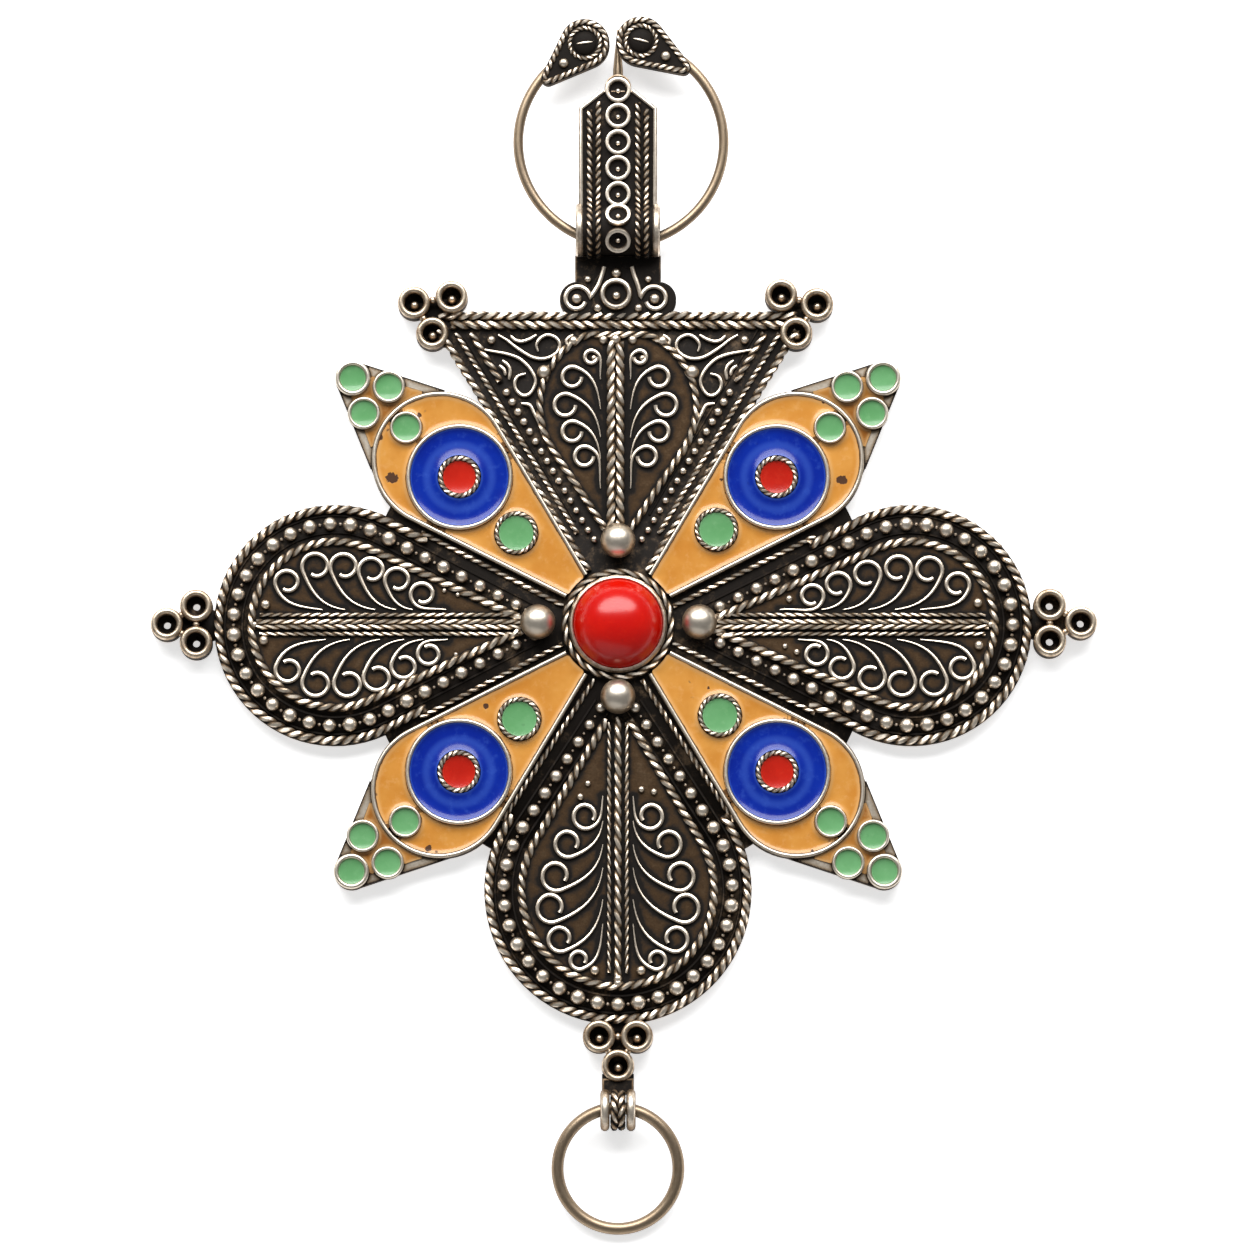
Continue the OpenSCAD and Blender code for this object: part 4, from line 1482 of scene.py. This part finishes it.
@dataclass
class Tongue:
    """The flat tongue, its ropes and cups, and the barrel that the open ring runs through."""

    half: float = 4.7
    low: float = 2.4
    high: float = 3.8
    shoulder: float = 62.2
    tip: float = 64.75
    tip_r: float = 1.6
    axis_y: float = 47.5
    axis_z: float = 3.0
    barrel: float = 2.94
    bore: float = 2.42
    barrel_half: float = 5.05
    cups: Sequence[float] = (61.25, 58.05, 54.9, 51.75, 64.4)
    cup: float = 1.5

    def set_cup(self, piece: Piece, spot: Matrix) -> None:
        """Sets one small cup with a granule in it.

        Args:
            piece: The piece that it becomes part of.
            spot: Where its foot stands.
        """
        steps = ((0, -0.3), (0.06, 0.42), (0, 0.56), (-0.18, 0.62), (-0.36, 0.56), (-0.42, 0.42), (-0.5, 0.1))
        profile = [(self.cup + x, z) for x, z in steps] + [(0.6, -0.12), (0, -0.16), (0, -0.3)]
        piece.lathe(profile, spot, 32, lambda at, normal: 0.95 if at.z > 0.4 else 0.02)
        piece.ball(spot @ Vector((0.0, -0.1, 0.05)), 0.32, low=0.4)

    def bar(self, piece: Piece) -> None:
        """Makes the bar with its tip, the barrel with its flanges, and the pin's seat.

        Args:
            piece: The piece that they become part of.
        """
        def worn(at: Vector, normal: Vector) -> float:
            """Relief of a flange: bright on its skin, dark in the bore."""
            return 0.75 if math.hypot(at.x, at.y) > 3.0 else 0.2

        start = self.axis_y + self.bore + 0.05
        corners = oblong(self.half, start, self.shoulder)
        corners[3:3] = [(self.tip_r, self.tip - 0.3), (-self.tip_r, self.tip - 0.3)]
        piece.slab(corners, self.low, self.high, 0.15, 0.12, 0.6)
        piece.slab(circle((0, self.tip), self.tip_r, 28), self.low, self.high - 0.01, 0.12, 0.12, 0.6)
        side_on = moved(0, self.axis_y, self.axis_z) @ Matrix.Rotation(math.pi / 2, 4, "Y")
        end = self.barrel_half
        tube = [(self.bore, -end), (self.barrel, -end), (self.barrel, end), (self.bore, end)]
        piece.lathe(tube, side_on, 72, even(0.14))
        for x in (-4.62, 4.6):
            steps = ((0.1, -0.42), (0.26, -0.22), (0.26, 0.22), (0.1, 0.42))
            skin = [(self.barrel + up, x + along) for up, along in steps]
            flange = [(self.bore, x - 0.42), *skin, (self.bore, x + 0.42)]
            piece.lathe(flange, side_on, 72, worn)
        foot = oblong(self.barrel_half, self.axis_y - 2.88, self.axis_y - 1.38)
        piece.slab(foot, 0.4, 1.0, 0.08, 0.2, 0.4)
        piece.slab(oblong(1.3, 49.98, 52.5), 0.7, 2.5, 0.1, 0.3, 0.4)

    def build(self) -> None:
        """Makes the bar, the barrel and all their ropes and cups."""
        piece = Piece("tongue_body", 71)
        self.bar(piece)
        axis = (self.axis_y, self.axis_z)
        rail = self.axis_y + self.bore + 0.35
        for side in (-1, 1):
            edge = ((side * 4.42, rail), (side * 4.42, self.shoulder - 0.05), (side * 1.75, self.tip - 0.45))
            piece.wires([level(edge, self.high + 0.05)], 0.27, sides=2)
            for x, end, hand in ((2.38, 62.9, side), (3.4, 62.0, -side)):
                over = arc(axis, self.barrel + 0.2, math.radians(195), math.radians(42), 24)
                over += [(51.1, self.high + 0.42), (52.2, self.high + 0.28), (end, self.high + 0.28)]
                piece.rope(upright(over, side * x), 0.38, 0.96, Hand(hand), worn=-0.1)
        for y in self.cups:
            self.set_cup(piece, moved(0, y, self.high))
        for turn in (math.radians(62), math.radians(120)):
            y, z = arc(axis, self.barrel, turn, turn, 1)[0]
            self.set_cup(piece, moved(0, y, z) @ Matrix.Rotation(turn - math.pi / 2, 4, "X"))
        piece.finish(BODY_SILVER, "tongue")


@dataclass
class Finial:
    """A pear-shaped end of the open ring."""

    name: str
    middle: Plan
    neck: Plan
    ridge: float
    round_r: float = 2.997
    neck_r: float = 0.85
    low: float = 2.16
    high: float = 3.86

    def outline(self, inset: float) -> list[Plan]:
        """Draws the pear outline, its neck on the +Y side of its round.

        Args:
            inset: How far inside the edge it lies.

        Returns:
            The points of the outline.
        """
        length = math.dist(self.middle, self.neck)
        big, small = self.round_r - inset, max(0.15, self.neck_r - inset)
        lean = math.asin((big - small) / length)
        round_end = arc((0, 0), big, math.pi - lean, math.tau + lean, 32)
        return round_end + arc((0, length), small, lean, math.pi - lean, 8)

    def build(self) -> None:
        """Makes the finial's plate, ropes, dome, granule and a bright ridge that stands in for the highlight
        streak on the dome.
        """
        piece = Piece(self.name, 81)
        piece.slab(self.outline(0.0), self.low, self.high, 0.12, 0.1, 0.12)
        top = self.high + 0.06
        piece.rope(level(self.outline(0.4), top), 0.36, 0.9, closed=True, worn=0.02)
        piece.rope(level(circle((0, 0), 1.85, 48), top), 0.28, 0.7, Hand.LEFT, True, 0.05)
        angles = [math.pi / 20 * index for index in range(11)]
        dome = [(1.45 * math.sin(angle), top - 0.15 + 0.6 * math.cos(angle)) for angle in angles]
        piece.lathe([*dome, (0, top - 0.15)], moved(0, 0), 32, even(0.12))
        heading = math.atan2(self.neck[1] - self.middle[1], self.neck[0] - self.middle[0]) - math.pi / 2
        # The ridge keeps one angle in the brooch's own plan, across the dome where its highlight streak lies:
        # a raised wire, bright on top, as a painted highlight.
        lean = math.radians(self.ridge) - heading
        ends = [(side * math.cos(lean), side * math.sin(lean), top + rise)
                for side, rise in ((-0.95, 0.34), (0, 0.46), (0.95, 0.34))]
        ridge = smooth_line(ends)
        piece.wires([ridge], 0.17, sides=2, swell=lambda share: 0.3 + 0.7 * math.sin(math.pi * share))
        piece.ball((0, 3.5, top + 0.1), 0.6)
        piece.place(moved(*self.middle) @ Matrix.Rotation(heading, 4, "Z"))
        piece.finish(BODY_SILVER, "ring", Body.RING)


@dataclass
class Rings:
    """The open ring with its finials, the pin, the bail and the small lower ring."""

    ring_x: float = 0.35
    ring_y: float = 58.2
    ring_z: float = 3.0
    ring_r: float = 12.35
    wire: float = 0.59
    finials: Sequence[tuple[str, Plan, Plan, float]] = (
        ("finial_left", (-4, 70.1), (-8.4, 65.9), 7),
        ("finial_right", (2.75, 70.4), (7.9, 67.2), -14),
    )
    pin_start: float = 52.54
    pin_length: float = 19.6
    pin_r: float = 0.6
    drop_r: float = 7.2
    drop_wire: float = 0.72
    bail_y: float = -58.2
    bail_z: float = 2.6
    drop_offset: float = 0.25

    def build(self) -> None:
        """Makes the rings, the pin and the bail."""
        def point(share: float) -> float:
            """Share of the pin's radius at a share of its length."""
            return 1.0 if share < 0.75 else 1 - 0.8 * (share - 0.75) / 0.25

        ends = [math.atan2(at[1] - self.ring_y, at[0] - self.ring_x) for _, at, _, _ in self.finials]
        past = math.radians(4)
        line = arc((self.ring_x, self.ring_y), self.ring_r, ends[0] - past, ends[1] + past + math.tau, 150)
        band = Piece("open_ring", 91)
        band.wires([level(line, self.ring_z)], self.wire, sides=4, relief=drawn)
        band.finish(RING_SILVER, "ring", Body.RING)
        for finial in self.finials:
            Finial(*finial).build()
        pin = Piece("pin_shaft", 92)
        line = level([(0, self.pin_start + self.pin_length * index / 40) for index in range(41)], 1.5)
        pin.wires([line], self.pin_r, sides=4, swell=point, relief=drawn)
        pin.finish(RING_SILVER, "pin")
        self.bail()
        loop = Piece("lower_ring", 93)
        tilt = math.asin((self.bail_z - self.drop_wire) / (2 * self.drop_r - self.drop_offset))
        line = level(circle((0, self.drop_offset - self.drop_r), self.drop_r, 120), 0)
        loop.wires([line], self.drop_wire, True, 4, relief=drawn)
        loop.place(moved(0, self.bail_y, self.bail_z) @ Matrix.Rotation(tilt, 4, "X"))
        loop.finish(RING_SILVER, "drop_ring", Body.DROP_RING)

    def bail(self) -> None:
        """Makes the hoops that hold the lower ring and the block behind them."""
        piece = Piece("bail", 94)
        axis = (self.bail_y, self.bail_z)
        for x in (-1.55, 1.55):
            hoop = upright(circle(axis, 1.98, 48), x)
            piece.wires([hoop], 0.55, True, 3, relief=lambda place, normal: 0.35 + 0.6 * max(0.0, normal.z))
        for x, hand in ((-0.42, Hand.RIGHT), (0.42, Hand.LEFT)):
            piece.rope(upright(circle(axis, 2.02, 48), x), 0.5, 1.3, hand, True)
        piece.slab(oblong(1.9, -56.3, -54.4), 1.1, 2.7, 0.2, 0.2, 0.5)
        piece.finish(BODY_SILVER, "plate")


@dataclass(frozen=True)
class Studio:
    """The pale floor, the soft lights and the camera of the photograph, in metres.

    Each lamp has a name, a place, a width and depth, and a power in watts.
    """

    distance: float = 1.2
    width: float = 0.1502
    sensor: float = 36
    elevation: float = 84.0
    look_at: Mark = (0.00108, -0.00024, 0.0015)
    sky: float = 0.16
    floor_z: float = -0.00031
    lamps: tuple[tuple[str, Mark, Plan, float], ...] = (
        ("key_light", (-0.04, 0.72, 0.7), (1.7, 0.7), 19.0),
        ("fill_light", (-0.2, -0.9, 0.4), (1.6, 0.6), 0.9),
    )

    def floor(self) -> None:
        """Lays the pale floor."""
        bm = bmesh.new()
        bmesh.ops.create_grid(bm, x_segments=1, y_segments=1, size=1.5, matrix=moved(0, 0, self.floor_z))
        mesh = to_mesh("pale_floor", bm)
        paint = bpy.data.materials.new("pale_floor")
        paint.use_nodes = True
        graph = Graph(paint.node_tree)
        graph.feed(paint.node_tree.nodes["Principled BSDF"].inputs, {
            "Base Color": graph.blend(graph.noise(30), tint(250, 250, 249), tint(254, 254, 254)),
            "Roughness": 0.85,
            "Specular IOR Level": 0.1,
            "Emission Color": (1, 1, 1, 1),
            "Emission Strength": 0.6,
        })
        mesh.materials.append(paint)
        show("pale_floor", mesh)

    def light(self, name: str, place: Mark, size: Plan, power: float) -> None:
        """Hangs one soft light that faces the brooch.

        Args:
            name: The light's name.
            place: Where it hangs.
            size: Its width and depth.
            power: Its power in watts.
        """
        lamp = bpy.data.lights.new(name, "AREA")
        lamp.shape = "ELLIPSE"
        lamp.size, lamp.size_y = size
        lamp.energy = power
        holder = show(name, lamp)
        holder.location = place
        holder.rotation_euler = (-Vector(place)).to_track_quat("-Z", "Y").to_euler()

    def build(self) -> None:
        """Sets up the floor, the lights, the sky and the camera."""
        self.floor()
        for lamp in self.lamps:
            self.light(*lamp)
        scene = bpy.context.scene
        scene.world = bpy.data.worlds.new("studio")
        scene.world.use_nodes = True
        sky = scene.world.node_tree.nodes["Background"].inputs
        Graph(scene.world.node_tree).feed(sky, {"Color": (1, 1, 1, 1), "Strength": self.sky})
        scene.view_settings.view_transform = "Standard"
        lens = bpy.data.cameras.new("photo_camera")
        lens.sensor_width = self.sensor
        lens.lens = self.sensor * self.distance / self.width
        lens.clip_start, lens.clip_end = 0.01, 10
        camera = show("photo_camera", lens)
        tilt = math.radians(self.elevation)
        back = Vector((0, -math.cos(tilt), math.sin(tilt)))
        camera.location = Vector(self.look_at) + back * self.distance
        camera.rotation_euler = (-back).to_track_quat("-Z", "Y").to_euler()
        scene.camera = camera


LEFT_UPPER = (
    (5.08, 39.7, 1.38, 35.4), (6.97, 36.3, 1.56, 32.7), (6.92, 32.9, 1.56, 29.1),
    (6.48, 29.6, 1.48, 26.6), (5.32, 26.5, 1.44, 24.6), (3.61, 23.5, 1.34, 20.6),
)
LEFT_LOWER = (
    (5.41, 39.55, 1.45, 35.0), (7.0, 36.2, 1.6, 32.1), (7.05, 32.4, 1.6, 28.5),
    (6.35, 28.9, 1.56, 25.6), (5.0, 25.7, 1.44, 23.3), (3.5, 22.7, 1.28, 20.4),
)
RIGHT_UPPER = (
    (4.75, 40.7, 1.4, 36.2), (6.5, 37.3, 1.56, 33.2), (6.65, 33.6, 1.56, 30.0),
    (6.0, 29.9, 1.56, 27.0), (4.75, 26.4, 1.46, 24.4), (3.4, 23.3, 1.32, 19.4),
)
RIGHT_LOWER = (
    (5.1, 41.2, 1.45, 36.2), (6.9, 37.8, 1.58, 33.4), (6.95, 34.0, 1.6, 29.6),
    (6.3, 30.4, 1.56, 26.9), (5.1, 26.8, 1.44, 25.0), (3.5, 23.8, 1.32, 21.6),
)
LOWER_SIDE = (
    (4.6, 40.3, 1.08, 35.9), (6.85, 37.8, 1.46, 33.0), (7.95, 34.1, 1.68, 29.2),
    (7.35, 30.3, 1.68, 26.4), (5.95, 26.4, 1.55, 23.6), (3.85, 23.1, 1.45, 20.6),
)
UPPER_SIDE = (
    (2.9, 32.3, 0.78, 29.6), (5.16, 29.9, 1.22, 26.0), (6.0, 26.5, 1.34, 22.6),
    (5.15, 23.3, 1.22, 20.0), (3.7, 20.3, 1.18, 16.4),
)
FIELDS = (
    Filigree(
        "left", 90, Drop(33.9, 10.0, 10.0), 43.3, LEFT_LOWER, LEFT_UPPER,
        ((-1.9, 42.4, 0.6), (2.4, 42.2, 0.6), (3.6, 19.2, 0.3), (4.1, 20.8, 0.3), (-3.6, 19.4, 0.3)),
    ),
    Filigree(
        "right", -90, Drop(35.1, 10.0, 10.0), 44.4, RIGHT_UPPER, RIGHT_LOWER,
        ((2.5, 43.2, 0.6), (-2.6, 43.1, 0.6), (-3.1, 20.5, 0.45), (2.6, 20.0, 0.35), (3.3, 21.4, 0.4)),
        seed=4,
    ),
    Filigree(
        "bottom", 180, Drop(31.9, 11.5, 9.2), 42.2, LOWER_SIDE, LOWER_SIDE,
        ((0, 43.0, 0.54), (2.75, 41.5, 0.58), (-2.75, 41.5, 0.58), (3.6, 19.1, 0.4), (4.5, 20.7, 0.45),
         (-2.8, 19.8, 0.42), (-4.3, 20.1, 0.42)),
        plait=0.46, beside=1.05, single=True, seed=8,
    ),
    Filigree(
        "top", 0, Drop(26.3, 9.4, 9.2), 34.1, UPPER_SIDE, UPPER_SIDE,
        ((2.9, 32.2, 0.34), (-2.9, 32.2, 0.34)),
        leaf_rope=0.47, leaf_grain=1.45, curl=290, shrink=0.1, plait=0.56, beside=0, shift=-0.3,
        trim=35.0, seed=9,
    ),
)
PETALS = (
    Petal(1, 47, ((-5.6, 31.9, 1.3), (-3.0, 36.2, 0.6), (2.2, 34.6, 0.5))),
    Petal(2, -47, ((5.6, 31.6, 1.1), (-2.8, 36.3, 0.6), (-4.3, 20.9, 0.5))),
    Petal(3, -133, ((4.2, 35.6, 0.7), (-1.8, 13.2, 0.4))),
    Petal(4, 133, ((-4.2, 34.9, 0.8), (3.6, 18.2, 0.6))),
)
SIDE_CUPS = ((-54, 0), (-50.5, 2.2), (-50.5, -2.2), (55.4, 0.2), (51.7, 2.3), (51.7, -2))
CORNER_CUPS = ((-24.5, 38.8), (-20, 39.5), (-22.3, 35.1), (23.9, 38.6), (19.6, 39.7), (21.4, 35.1))
LOWER_CUPS = ((-2.25, -49.4), (2.25, -49.4), (0, -52.9))


def main() -> None:
    """Builds the studio and every piece of the brooch, in order."""
    logging.basicConfig(level=logging.INFO, format="%(message)s")
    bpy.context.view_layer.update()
    parts = (
        Studio(),
        Sheet(),
        Lobe("left", 90, Drop(33.9, 14.5, 2.5), 5),
        Lobe("right", -90, Drop(35.1, 14.5, 2.5), 6),
        Lobe("bottom", 180, Drop(31.9, 16.0, 2.5), 7),
        *FIELDS,
        Triangle(),
        *PETALS,
        Hub(),
        PointCups("side_cups", SIDE_CUPS, True, 31),
        PointCups("corner_cups", CORNER_CUPS, False, 32),
        PointCups("lower_cups", LOWER_CUPS, False, 33),
        Crest(),
        Tongue(),
        Rings(),
    )
    for part in parts:
        part.build()


if __name__ == "__main__":
    main()
